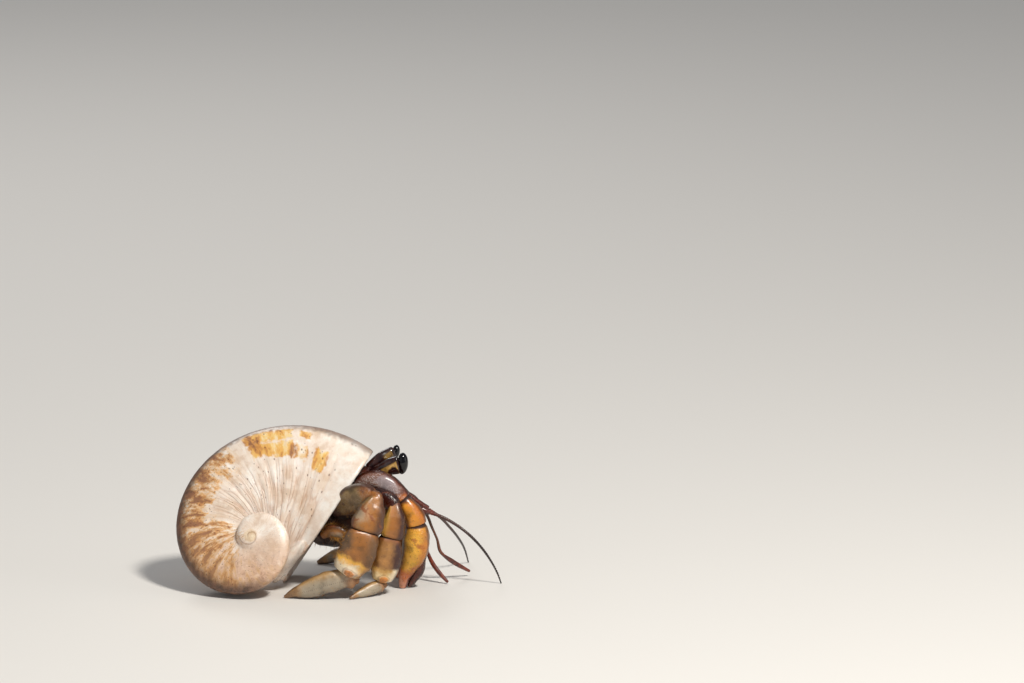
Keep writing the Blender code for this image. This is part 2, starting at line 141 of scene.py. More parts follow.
# The callus: a glossy ridge laid along the lip from its lowest point up to the suture.
CALLUS_STEPS, CALLUS_AROUND, CALLUS_KNOTS, CALLUS_BACK, CALLUS_FLAT = 18, 24, (10.9, 14.1), 0.95, 0.8
CALLUS_THICK = ((0, 0.2, 0.55, 0.8, 1), (0.6, 0.85, 1.2, 0.95, 0.2))
callus_path = [lip[round(AROUND * k / KNOTS) % AROUND] - CALLUS_BACK * FORWARD
               for k in np.linspace(*CALLUS_KNOTS, CALLUS_STEPS)]
callus_thick = np.interp(np.linspace(0, 1, CALLUS_STEPS), *CALLUS_THICK)
a = np.linspace(0, 2 * math.pi, CALLUS_AROUND, endpoint=False)[:, None]
ridge = []
for k, (p, r) in enumerate(zip(callus_path, callus_thick)):
    run = callus_path[min(k + 1, CALLUS_STEPS - 1)] - callus_path[max(k - 1, 0)]
    wide = np.cross(run / np.linalg.norm(run), FORWARD)
    ridge.append((p + APEX + r * (np.cos(a) * wide + CALLUS_FLAT * np.sin(a) * FORWARD)) * MM)
callus = sweep(ridge)
raw = bpy.data.meshes.new("shell sheet")
callus.to_mesh(raw)
callus.free()
bm.from_mesh(raw)
bm.to_mesh(raw)
bm.free()
raw_shell = bpy.data.objects.new("shell sheet", raw)
bpy.context.scene.collection.objects.link(raw_shell)
fuse = raw_shell.modifiers.new("one skin", "REMESH")
fuse.mode = "VOXEL"
fuse.voxel_size = SKIN_PITCH * MM
graph = bpy.context.evaluated_depsgraph_get()
skin = bpy.data.meshes.new_from_object(raw_shell.evaluated_get(graph))
bpy.data.objects.remove(raw_shell)


def rub(bm, verts, passes):
    """Rubs these points of the skin smooth."""
    for _ in range(passes):
        bmesh.ops.smooth_vert(bm, verts=verts, factor=0.5,
                              use_axis_x=True, use_axis_y=True, use_axis_z=True)


# Each point of the skin is told how old it is (turn) and where round the edge it grew (knot).
rings = np.array(sheet) + APEX
steps = np.r_[ages, 0, 0, inner_ages]
tree = KDTree(rings.size // 3)
for k, p in enumerate(rings.reshape(-1, 3)):
    tree.insert(p, k)
tree.balance()
bm = bmesh.new()
bm.from_mesh(skin)
rub(bm, bm.verts[:], 1)
bmesh.ops.recalc_face_normals(bm, faces=bm.faces[:])
bm.normal_update()
points = np.array([v.co[:] for v in bm.verts]) / MM
normals = np.array([v.normal[:] for v in bm.verts])
near_at = np.array([tree.find(p)[1] for p in points])
i, k = near_at // AROUND, near_at % AROUND
before, after = np.maximum(i - 1, 0), np.minimum(i + 1, len(rings) - 1)
off = points - rings[i, k]
run = rings[after, k] - rings[before, k]
turn = steps[i] + (off * run).sum(1) / (run * run).sum(1) * (steps[after] - steps[before])
run = rings[i, (k + 1) % AROUND] - rings[i, k - 1]
knot = (k + 2 * (off * run).sum(1) / (run * run).sum(1)) * KNOTS / AROUND % KNOTS
inward = ((points - rings.mean(axis=1)[i]) * normals).sum(1) < 0
inside = ((i > len(ages)) & inward).astype(float)
turn = np.clip(turn, -3, 0)
ends = np.array([[v.index for v in e.verts] for e in bm.edges])
same_age = np.abs(turn[ends[:, 0]] - turn[ends[:, 1]]) < 0.08
kin = ends[same_age & (inside[ends[:, 0]] == inside[ends[:, 1]])]


def eased(values, pairs, passes):
    """The values along the skin with the small steps between neighbours rubbed away."""
    for _ in range(passes):
        total, many = values.copy(), np.ones(len(values))
        for a, b in ((0, 1), (1, 0)):
            total += np.bincount(pairs[:, a], values[pairs[:, b]], len(values))
            many += np.bincount(pairs[:, a], minlength=len(values))
        values = total / many
    return values


def wavering(at):
    """Smooth noise at each of these places."""
    return np.array([noise.noise(Vector(p)) for p in at])


EASE = 7
turn = eased(turn, kin, EASE)
way = knot * 2 * math.pi / KNOTS
way = np.arctan2(eased(np.sin(way), kin, EASE), eased(np.cos(way), kin, EASE))
knot = way * KNOTS / 2 / math.pi % KNOTS
hoop = np.stack((turn, np.cos(way) * KNOTS / 2 / math.pi, np.sin(way) * KNOTS / 2 / math.pi), axis=1)
size = WHORL**turn
wander = wavering(points * 0.45)
fine_wander = wavering(points * 1.9 + (7, 0, 0))
reach = np.linalg.norm(points - APEX, axis=1)
ridge_line = np.array(callus_path) + APEX
off = np.linalg.norm(points[:, None] - ridge_line, axis=2) - callus_thick
callus_near = 1 - smooth(off.min(axis=1), 0.05, 0.55)

# Where the skin folds in, and the spiral line of the early whorls that is fitted through the fold.
FOLD_EASE, FOLD_SHALLOW, FOLD_DEEP = 5, 0.004, 0.02
FACES_NEAR, NEAR_HALF = 0.2, 9
LINE_FITS, LINE_STARTS, LINE_ENDS, LINE_WIDE = (1.5, 5.5), (0.25, 0.5), (1.7, 2.3), 0.09
bulge = np.zeros(len(points))
for axis in range(3):
    bulge += (eased(points[:, axis], ends, 1) - points[:, axis]) * normals[:, axis]
crease = smooth(eased(bulge, ends, FOLD_EASE), FOLD_SHALLOW, FOLD_DEEP)
spoke = points - APEX
spoke -= (spoke @ AXIS)[:, None] * AXIS
out = np.linalg.norm(spoke, axis=1)
bearing = np.arctan2(spoke @ np.cross(AXIS, UP), spoke @ UP) / 2 / math.pi
phase = np.log(np.maximum(out, 0.05)) / math.log(WHORL) + bearing
facing = (normals @ NEAR > FACES_NEAR) & (points @ NEAR > APEX @ NEAR - NEAR_HALF)
fits = facing & (crease > 0.6) & (out > LINE_FITS[0]) & (out < LINE_FITS[1])
told = phase[fits] * 2 * math.pi
phase -= math.atan2(np.sin(told).mean(), np.cos(told).mean()) / 2 / math.pi
seam_off = np.abs(phase - np.round(phase)) * out * math.log(WHORL)
seam = np.exp(-(seam_off / LINE_WIDE)**2) * facing
seam = seam * (1 - smooth(out, *LINE_ENDS)) * smooth(out, *LINE_STARTS)

# Growth relief: pleats that crowd to the suture, fine lines all over, a smooth band at the lip.
GROOVE, PLEAT, LINE, LIP_STEP, OLD_FOLD, APEX_GROOVE, FOLD = 0.085, 0.12, 0.02, 0.05, 0.13, 0.07, 0.3
PLEATS_FADE, PLEATS_RETURN = (1.1, 3.3), (13.2, 13.9)
BAND_TURN, BAND_KNOT = (-0.036, -0.022), (3.0, 4.2)
FURROW_WIDE, FURROWS_START, FURROWS_END = 0.1, (-0.42, -0.3), (-0.034, -0.022)
STEP_TURN, STEP_WIDE, APEX_GROOVE_WIDE = 0.035, 0.004, 0.16
outer = 1 - inside
pleat = wavering(hoop * (60, 0.3, 0.3))
lines = wavering(hoop * (150, 0.8, 0.8))
suture = 1 - smooth(knot, *PLEATS_FADE) * (1 - smooth(knot, *PLEATS_RETURN))
lip_band = smooth(turn, *BAND_TURN) * (1 - smooth(knot, *BAND_KNOT))
furrow = np.exp(-(pleat / FURROW_WIDE)**2) * suture * (1 - lip_band) * outer
furrow *= smooth(turn, *FURROWS_START) * (1 - smooth(turn, *FURROWS_END))
fade = (1 - 0.8 * lip_band) * outer
relief = size * fade * (-GROOVE * furrow + PLEAT * pleat * suture + LINE * lines) + LINE * fine_wander * size
lip_step = np.exp(-((turn + STEP_TURN + STEP_WIDE * wander) / STEP_WIDE)**2)
relief -= LIP_STEP * lip_step * (1 - smooth(knot, 2.4, 3.4)) * fade
relief += OLD_FOLD * crease * smooth(-turn, 0.9, 1.1) * outer
apex_groove = np.exp(-(seam_off / APEX_GROOVE_WIDE)**2) * (seam > 0)
relief -= APEX_GROOVE * apex_groove * smooth(out, 0.3, 0.6) * (1 - smooth(out, 1.4, 2.2))
relief += FOLD * crease * (1 - smooth(out, 2.3, 3.0))
for v, p, n, r in zip(bm.verts, points, normals, relief):
    v.co = Vector((p + n * r) * MM)
    v.co.z = max(v.co.z, 0.0)
bm.verts.ensure_lookup_table()
EARLY_WHORLS, NEXT_WHORL = 2.9, 3.6
for worn_smooth, passes in (
    (reach < EARLY_WHORLS, 60), (reach < NEXT_WHORL, 16), (callus_near > 0.1, 14),
):
    rub(bm, [bm.verts[k] for k in np.nonzero(worn_smooth)[0]], passes)
bm.to_mesh(skin)
bm.free()

# Where the ochre blocks, the worn brown flank, the shoulder's painted shade and the tinted base lie. Each
# block is strength, turn from and to, knot from and to, and how soft its edges are in turn and in knot.
warp_turn, warp_knot = turn + 0.004 * fine_wander, knot + 0.14 * fine_wander + 0.1 * wander
MAIN_TURN, MAIN_KNOT, PALE_LINE = (-0.168, -0.107, 0.014), (2.55, 3.45, 0.32), (3.0, 3.04, 0.1)
ochre = within(warp_turn, *MAIN_TURN) * within(warp_knot, *MAIN_KNOT)
ochre *= 1 - 0.4 * within(warp_knot, *PALE_LINE)
for strength, start, stop, low, high, soft_turn, soft_knot in (
    (0.75, -0.095, -0.08, 2.45, 2.75, 0.01, 0.25), (1.05, -0.063, -0.052, 2.3, 2.75, 0.01, 0.3),
    (0.9, -0.09, -0.08, 3.25, 3.45, 0.01, 0.2), (0.3, -0.03, -0.006, 2.15, 2.8, 0.006, 0.15),
    (0.7, -0.33, -0.22, 5.2, 6.2, 0.02, 0.35), (0.7, -0.16, -0.06, 6.0, 7.1, 0.02, 0.35),
    (0.7, -0.26, -0.16, 8.4, 9.3, 0.02, 0.35),
):
    block = within(warp_turn, start, stop, soft_turn) * within(warp_knot, low, high, soft_knot)
    ochre = np.maximum(ochre, strength * block)
x, height = points[:, 0], points[:, 2]
worn = smooth(-x + 1.8 * wander + 0.1 * (9 - height), 3.6, 10.5) * (1 - smooth(knot, 6, 8.5))
worn_low = smooth(7.5 - height + 1.5 * wander, 0, 6) * (1 - smooth(knot, 6, 8))
worn = np.maximum(worn, 0.4 * worn_low)
worn *= 1 - 0.8 * within(turn, -0.36, -0.24, 0.03) * (1 - smooth(knot, 1.7, 2.3))
older = smooth(-turn, 0.15, 0.4)
# Painted shade: a dark band on the shoulder, where the top and far side of the shell turn from the light.
shoulder_shade_from = 3.46 - 0.7 * older + 0.1 * fine_wander
shoulder_shade = smooth(knot, shoulder_shade_from, shoulder_shade_from + 0.35 + 0.55 * older)
shoulder_shade *= (1 - smooth(knot, 5.4, 6.4)) * outer
shoulder_shade *= (0.8 + 0.2 * smooth(-turn, 0.05, 0.3)) * (1 - smooth(-turn, 0.62, 0.74))
tint = smooth(9.5 - height + 1.5 * wander, 0, 6) * (1 - 0.7 * lip_band)
core = 1 - smooth(reach, 0.85, 1.1)
fan = (1 - smooth(knot, 1.0, 3.1) * (1 - smooth(knot, 13.2, 13.8))) * smooth(turn, -0.4, -0.28)
fan *= (1 - lip_band) * outer * (1 - callus_near)
# The suture's fine brown line, with painted shade in the groove: darker wherever the skin folds in.
fold_line_and_shade = np.maximum(1.1 * smooth(crease, 0.2, 0.75), seam)
for title, columns in (
    ("growth", hoop.T),
    ("marks_and_shade", (ochre, worn, shoulder_shade)),
    ("tints", (tint, np.maximum(lip_band, callus_near), core)),
    ("relief", (fan, fold_line_and_shade, inside)),
):
    data = skin.attributes.new(title, "FLOAT_VECTOR", "POINT").data
    data.foreach_set("vector", np.stack(columns, axis=1).astype(np.float32).ravel())


# A finish is mixed from fields: numbers and colours that the material works out over the surface.
class Field:
    """The output of a shader node, which adds and multiplies like a number."""

    def __init__(self, socket):
        self.socket = socket

    def __add__(self, other):
        return sums("ADD", self, other)

    def __sub__(self, other):
        return sums("SUBTRACT", self, other)

    def __rsub__(self, other):
        return sums("SUBTRACT", other, self)

    def __mul__(self, other):
        return sums("MULTIPLY", self, other)

    def __pow__(self, power):
        return sums("POWER", self, power)

    def __abs__(self):
        return sums("ABSOLUTE", self)


def light(value):
    """A paint of red, green and blue from 0 to 255, or one number, in a shader's linear light."""
    if hasattr(value, "__len__"):
        return (*(((c / 255 + 0.055) / 1.055)**2.4 if c > 10 else c / 3294 for c in value), 1)
    return (value, value, value, 1)


def feed(made, wires):
    """Gives each named input of a node its field or its plain value."""
    for name, value in wires.items():
        if isinstance(value, Field):
            made.id_data.links.new(value.socket, made.inputs[name])
        else:
            made.inputs[name].default_value = light(value) if made.inputs[name].type == "RGBA" else value


def node(kind, wires, output=0, **settings):
    """A new node in the tree that its first field belongs to."""
    tree = next(value.socket.id_data for value in wires.values() if isinstance(value, Field))
    made = tree.nodes.new("ShaderNode" + kind)
    for name, value in settings.items():
        setattr(made, name, value)
    feed(made, wires)
    return Field(made.outputs[output])


def sums(operation, *values):
    return node("Math", dict(enumerate(values)), operation=operation)


def ramp(factor, *stops):
    made = node("ValToRGB", {0: factor})
    scale = made.socket.node.color_ramp
    scale.interpolation = "EASE"
    while len(scale.elements) < len(stops):
        scale.elements.new(0.5)
    for element, (at, colour) in zip(scale.elements, stops):
        element.position = at
        element.color = light(colour)
    return made


def blend(factor, under, over, how="MIX"):
    return node("Mix", {0: factor, 6: under, 7: over}, 2, data_type="RGBA", blend_type=how)


def stretched(place, scale, shift=(0, 0, 0)):
    return node("Mapping", {"Vector": place, "Scale": scale, "Location": shift})


def grain(place, scale, detail=3.0, rough=0.55, warp=0.0):
    return node("TexNoise", {"Vector": place, "Scale": scale, "Detail": detail, "Roughness": rough,
                             "Distortion": warp}, "Fac")


def cells(place, scale):
    """Scattered points: how far off the nearest one is, and three numbers drawn for it."""
    distance = node("TexVoronoi", {"Vector": place, "Scale": scale}, "Distance")
    drawn = node("SeparateColor", {0: Field(distance.socket.node.outputs["Color"])})
    return distance, [Field(socket) for socket in drawn.socket.node.outputs]


def attribute(place, title):
    """The three numbers that the mesh carries under this title, together and apart."""
    made = place.socket.id_data.nodes.new("ShaderNodeAttribute")
    made.attribute_name = title
    whole = Field(made.outputs["Vector"])
    return whole, [Field(socket) for socket in node("SeparateXYZ", {0: whole}).socket.node.outputs]


def bumped(height, depth_mm, strength=1.0, under=None):
    wires = {"Strength": strength, "Distance": depth_mm * MM, "Height": height}
    return node("Bump", wires if under is None else {**wires, "Normal": under})


def new_coat(title):
    mat = bpy.data.materials.new(title)
    mat.use_nodes = True
    nodes = mat.node_tree.nodes
    return mat, nodes["Principled BSDF"], Field(nodes.new("ShaderNodeTexCoord").outputs["Object"])


lime, surface, place = new_coat("worn shell lime")
age, (age_turn, _, _) = attribute(place, "growth")
_, (ochre_at, worn_at, shoulder_shade_at) = attribute(place, "marks_and_shade")
_, (tint_at, band_at, core_at) = attribute(place, "tints")
_, (fan_at, fold_shade_at, hollow) = attribute(place, "relief")
plain = 1 - sums("MAXIMUM", band_at, hollow)
cloud = grain(place, 380, 4, 0.6)
mottle = grain(place, 1300, 5, 0.72, 0.5)
strand = grain(stretched(age, (130, 0.7, 0.7)), 1.0, 3, 0.55)
thread = ramp(abs(strand - 0.5), (0.0, 1.0), (0.035, 0.0))
rib = grain(stretched(age, (62, 0.34, 0.34), (5, 0, 0)), 1.0, 2, 0.5)
cut = ramp(abs(rib - 0.5), (0.0, 0.9), (0.03, 0.4), (0.09, 0.0))
streaks = grain(stretched(age, (52, 0.9, 0.9), (3, 0, 0)), 1.0, 4, 0.62)

# Cream lime, rosy near the ground, with pale streaks, hair lines and brown cuts between the pleats.
colour = ramp(cloud, (0.34, (220, 198, 178)), (0.5, (237, 222, 208)), (0.64, (245, 237, 228)))
rosy = ramp(mottle, (0.34, (168, 116, 80)), (0.5, (206, 162, 128)), (0.66, (224, 192, 164)))
colour = blend(tint_at * 0.8, colour, rosy)
colour = blend(ramp(streaks, (0.45, 0.0), (0.62, 1.0)) * plain * 0.3, colour, (214, 182, 150))
colour = blend(thread * plain * 0.1, colour, (176, 124, 84))
colour = blend(cut * fan_at * 0.42, colour, (180, 118, 70))

# The ochre blocks, and the worn flank where the streaks show through brown.
ochre_mix = ramp(streaks * 2.2 + (ochre_at - 1.6) + mottle, (0.25, 0.0), (0.95, 1.0))
ochre_tone = ramp(streaks, (0.38, (240, 206, 128)), (0.49, (228, 172, 72)), (0.56, (200, 134, 46)),
                  (0.66, (132, 74, 28)))
colour = blend(ochre_mix * ramp(ochre_at, (0.1, 0.0), (0.6, 1.0)) * 0.9, colour, ochre_tone)
worn_amount = worn_at * 0.8 + ((streaks * 1.15 + mottle * 0.65) * 2.5 - 2.28)
worn_mix = ramp(worn_amount, (0.1, 0.0), (0.85, 1.0)) * plain * ramp(worn_at, (0.0, 0.0), (0.45, 1.0))
worn_tone = ramp(worn_amount, (0.15, (234, 200, 142)), (0.55, (216, 162, 84)), (0.85, (184, 124, 60)),
                 (1.0, (138, 84, 42)))
worn_tone = blend(0.75, worn_tone, ramp(mottle, (0.34, 0.6), (0.5, 1.0), (0.64, 1.3)), "MULTIPLY")
worn_tone = blend(tint_at * 0.45, worn_tone, (172, 132, 90))
colour = blend(worn_mix * 0.9, colour, worn_tone)
dirt = ramp(grain(place, 2600, 3, 0.6), (0.6, 0.0), (0.68, 1.0))
colour = blend(dirt * worn_at * plain * 0.75, colour, (104, 58, 30))

# Painted shade on the shoulder, the porcelain lip and callus, the first whorl, and the line along the fold.
colour = blend(shoulder_shade_at * 0.9, colour, ramp(mottle, (0.36, (56, 36, 30)), (0.62, (112, 78, 62))))
colour = blend(band_at * 0.75, colour, ramp(cloud, (0.38, (226, 208, 192)), (0.6, (240, 234, 226))))
first_whorl = ramp(mottle, (0.35, (206, 170, 118)), (0.65, (232, 210, 176)))
colour = blend(core_at * 0.7, colour, first_whorl)
# Painted shade in the suture's fold, in the brown of its line.
colour = blend(fold_shade_at * (1 - hollow) * 0.7, colour, (142, 94, 58))

# Dark dashes along the growth lines, pits, and the lining of the mouth with painted shade deeper into it.
dash_off, drawn = cells(stretched(age, (170, 5.5, 5.5)), 1.0)
dash = ramp(dash_off, (0.08, 1.0), (0.3, 0.0)) * ramp(cloud * 0.4 + drawn[0], (0.98, 0.0), (1.06, 1.0))
pit_off, drawn = cells(place, 2600)
pit = ramp(pit_off, (0.08, 1.0), (0.27, 0.0)) * ramp(worn_at * 0.22 + drawn[1], (0.9, 0.0), (0.98, 1.0))
dark_spots = sums("MAXIMUM", dash, pit) * plain
colour = blend(dark_spots * 0.8, colour, (92, 48, 26))
porcelain = ramp(cloud, (0.4, (214, 184, 164)), (0.6, (232, 214, 198)))
# Painted shade: the lining darkens to brown the deeper it lies in the mouth.
deep = ramp(age_turn * -1.0, (0.03, 0.0), (0.2, 1.0))
colour = blend(hollow, colour, blend(deep, porcelain, (120, 78, 56)))

bump = bumped((strand - thread * 0.3) * plain, 0.05, 0.3)
bump = bumped((rib * 0.8 - cut * 0.7) * fan_at, 0.12, 0.8, bump)
feed(surface, {
    "Base Color": colour, "Roughness": mottle * 0.3 + 0.24 + worn_mix * 0.12 - band_at * 0.1,
    "Coat Weight": 0.15, "Coat Roughness": 0.2, "Subsurface Weight": 0.06,
    "Subsurface Radius": (0.9, 0.6, 0.4), "Subsurface Scale": 0.0006,
    "Normal": bumped(mottle - dark_spots * 0.9, 0.04, 0.4, bump),
})

skin.name = "moon shell"
skin.materials.clear()
skin.materials.append(lime)
skin.polygons.foreach_set("use_smooth", [True] * len(skin.polygons))
shell = bpy.data.objects.new("moon_shell", skin)
bpy.context.scene.collection.objects.link(shell)
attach(shell, "root")
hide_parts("shell")

# ---------------------------------------------------------------------------------------------------
# The right third leg, nearest the viewer: a broad leg of hard granular cuticle in tubes, each
# tucked into the last at a dark joint. Pale cream ends, an orange joint knob, a long blade to walk on.
POLE_EDGES = 6  # a tube's end point meets more edges than any other
GRANULE_REACH, WAVE_HEIGHT, WAVE_BEAT, RIM_HEIGHT = 0.62, 0.09, 0.8, 0.04
KEEL_BEARING, KEEL_SPREAD = 4.2, 0.7
KNOB_U, KNOB_C = 0.985, 0.1  # where the joint knob sits, along its tube and across it
TABLE_CLEAR = 0.00002  # metres that the lowest skin keeps above the table
JOINT_BROWN, EDGE_SHADE_BROWN, PORE_BROWN, DOT_BROWN = (50, 22, 12), (44, 18, 12), (44, 20, 12), (52, 36, 28)
KNOB_EDGE, GLINT_WHITE = (110, 58, 24), (226, 216, 214)


def through(stations, at):
    """Smooth values along the stations, whose first column is the distance from the first."""
    s = np.array(stations, float)
    length, s = s[:, 0], s[:, 1:]
    slope = np.gradient(s, length, axis=0)
    k = np.clip(np.searchsorted(length, at, side="right") - 1, 0, len(s) - 2)
    h = (length[k + 1] - length[k])[:, None]
    f = (at - length[k])[:, None] / h
    return ((2 * f**3 - 3 * f**2 + 1) * s[k] + (f**3 - 2 * f**2 + f) * h * slope[k]
            + (3 * f**2 - 2 * f**3) * s[k + 1] + (f**3 - f**2) * h * slope[k + 1])


def piece_of(title, bm, coat, smooth_faces=True):
    """The finished object of a bmesh, in its coat."""
    mesh = bpy.data.meshes.new(title)
    bm.to_mesh(mesh)
    bm.free()
    mesh.polygons.foreach_set("use_smooth", [smooth_faces] * len(mesh.polygons))
    mesh.materials.append(coat)
    piece = bpy.data.objects.new(title, mesh)
    bpy.context.scene.collection.objects.link(piece)
    return piece


def turned_by(angle, other):
    """The angle from one bearing to another, the short way round."""
    return abs((angle - other + math.pi) % (2 * math.pi) - math.pi)


def limb(title, stations, coat, around=64, pitch=0.15, square=2.3, side=(0, 1, 0), neck=0.4,
         crown=0.16, tuck=0.3, knee=None, grit=0.3, lift=0.02, keel=0.0, knob=0.0, spines=(),
         swell=None):
    """A tube of cuticle through stations (x, y, z, half width, half depth) in millimetres, with a
    rounded neck tucked into the limb before it, a crown, granules of size grit raised by lift, a
    keel along its near side, a joint knob at its far end and rows of small spines. Each point
    carries its place: u along the limb, c across it and d through it."""
    s = np.array(stations, float)
    back = s[0, :3] + (s[0, :3] - s[1, :3]) / np.linalg.norm(s[0, :3] - s[1, :3]) * tuck
    back = back if knee is None else np.array(knee)
    s = np.vstack((np.r_[back, s[0, 3:] * 0.9], s)) if tuck else s
    length = np.r_[0, np.cumsum(np.linalg.norm(np.diff(s[:, :3], axis=0), axis=1))]
    total = length[-1]
    at = np.linspace(0, total, max(8, int(total / pitch)))
    path = through(np.c_[length, s], at)
    run = np.gradient(path[:, :3], axis=0)
    run /= np.linalg.norm(run, axis=1)[:, None]
    turned_in = np.linspace(0.08, 1, 6, endpoint=False) * math.pi / 2
    curl, fill = np.sin(turned_in), np.sin(turned_in)**0.6
    caps = []
    for end, way, reach in ((0, -1, neck), (-1, 1, crown)):
        rows = [np.r_[path[end, :3] + way * run[end] * reach * math.sqrt(1 - c * c), path[end, 3:] * f]
                for c, f in zip(curl, fill)]
        caps.append((rows if end == 0 else rows[::-1], [run[end]] * len(rows)))
    path = np.array(caps[0][0] + list(path) + caps[1][0])
    run = np.array(caps[0][1] + list(run) + caps[1][1])
    at = np.r_[-neck * (1 - curl), at, total + crown * (1 - curl[::-1])] / total
    deep = np.array(side, float) - (run @ np.array(side, float))[:, None] * run
    deep /= np.linalg.norm(deep, axis=1)[:, None]
    wide = np.cross(run, deep)
    bearing = np.linspace(0, 2 * math.pi, around, endpoint=False)
    ca, sa = np.cos(bearing), np.sin(bearing)
    ce, se = (np.sign(x) * np.abs(x)**(2 / square) for x in (ca, sa))
    bm = sweep((path[:, None, :3] + path[:, 3, None, None] * ce[None, :, None] * wide[:, None]
                + path[:, 4, None, None] * se[None, :, None] * deep[:, None]) * MM)
    bm.normal_update()
    place_of, step_of = bm.verts.layers.int["place"], bm.verts.layers.int["step"]
    records = []
    for v in bm.verts:
        i, k = v[step_of], v[place_of]
        pole = len(v.link_edges) > POLE_EDGES
        u, c, d = at[i], (0 if pole else ca[k]), (0 if pole else sa[k])
        records.append((u, c, d))
        if pole:
            continue
        p, half = v.co / MM, path[i][3]
        calm = float(within(u, 0.06, 0.96, 0.05))
        nearest = noise.voronoi(p / grit)[0][0]
        rise = lift * calm * max(0, 1 - nearest / GRANULE_REACH)
        rise += WAVE_HEIGHT * calm * noise.noise(p * WAVE_BEAT) * half
        rise += keel * calm * max(0, 1 - turned_by(bearing[k], KEEL_BEARING) / KEEL_SPREAD)**2
        rise += RIM_HEIGHT * within(u, 0.93, 0.99, 0.03) * (lift > 0)
        if knob and d < 0:
            miss = ((u - KNOB_U) * total)**2 / 0.2 + ((c - KNOB_C) * half)**2 / 0.5
            rise += knob * max(0, 1 - miss)**0.6
        for angle, start, stop, count, height, spread in spines:
            miss = turned_by(bearing[k], angle) * half
            if miss < spread and start < u < stop:
                beat = abs(((u - start) / (stop - start) * count) % 1 - 0.5) * 2
                rise += height * (1 - miss / spread) * max(0, beat * 2 - 1)
        if swell:
            rise += swell(u, c, d)
        v.co += v.normal * rise * MM
        v.co.z = max(v.co.z, TABLE_CLEAR)
    piece = piece_of(title, bm, coat)
    for layer in ("place", "step"):
        piece.data.attributes.remove(piece.data.attributes[layer])
    data = piece.data.attributes.new("limb", "FLOAT_VECTOR", "POINT").data
    data.foreach_set("vector", np.array(records, np.float32).ravel())
    return piece


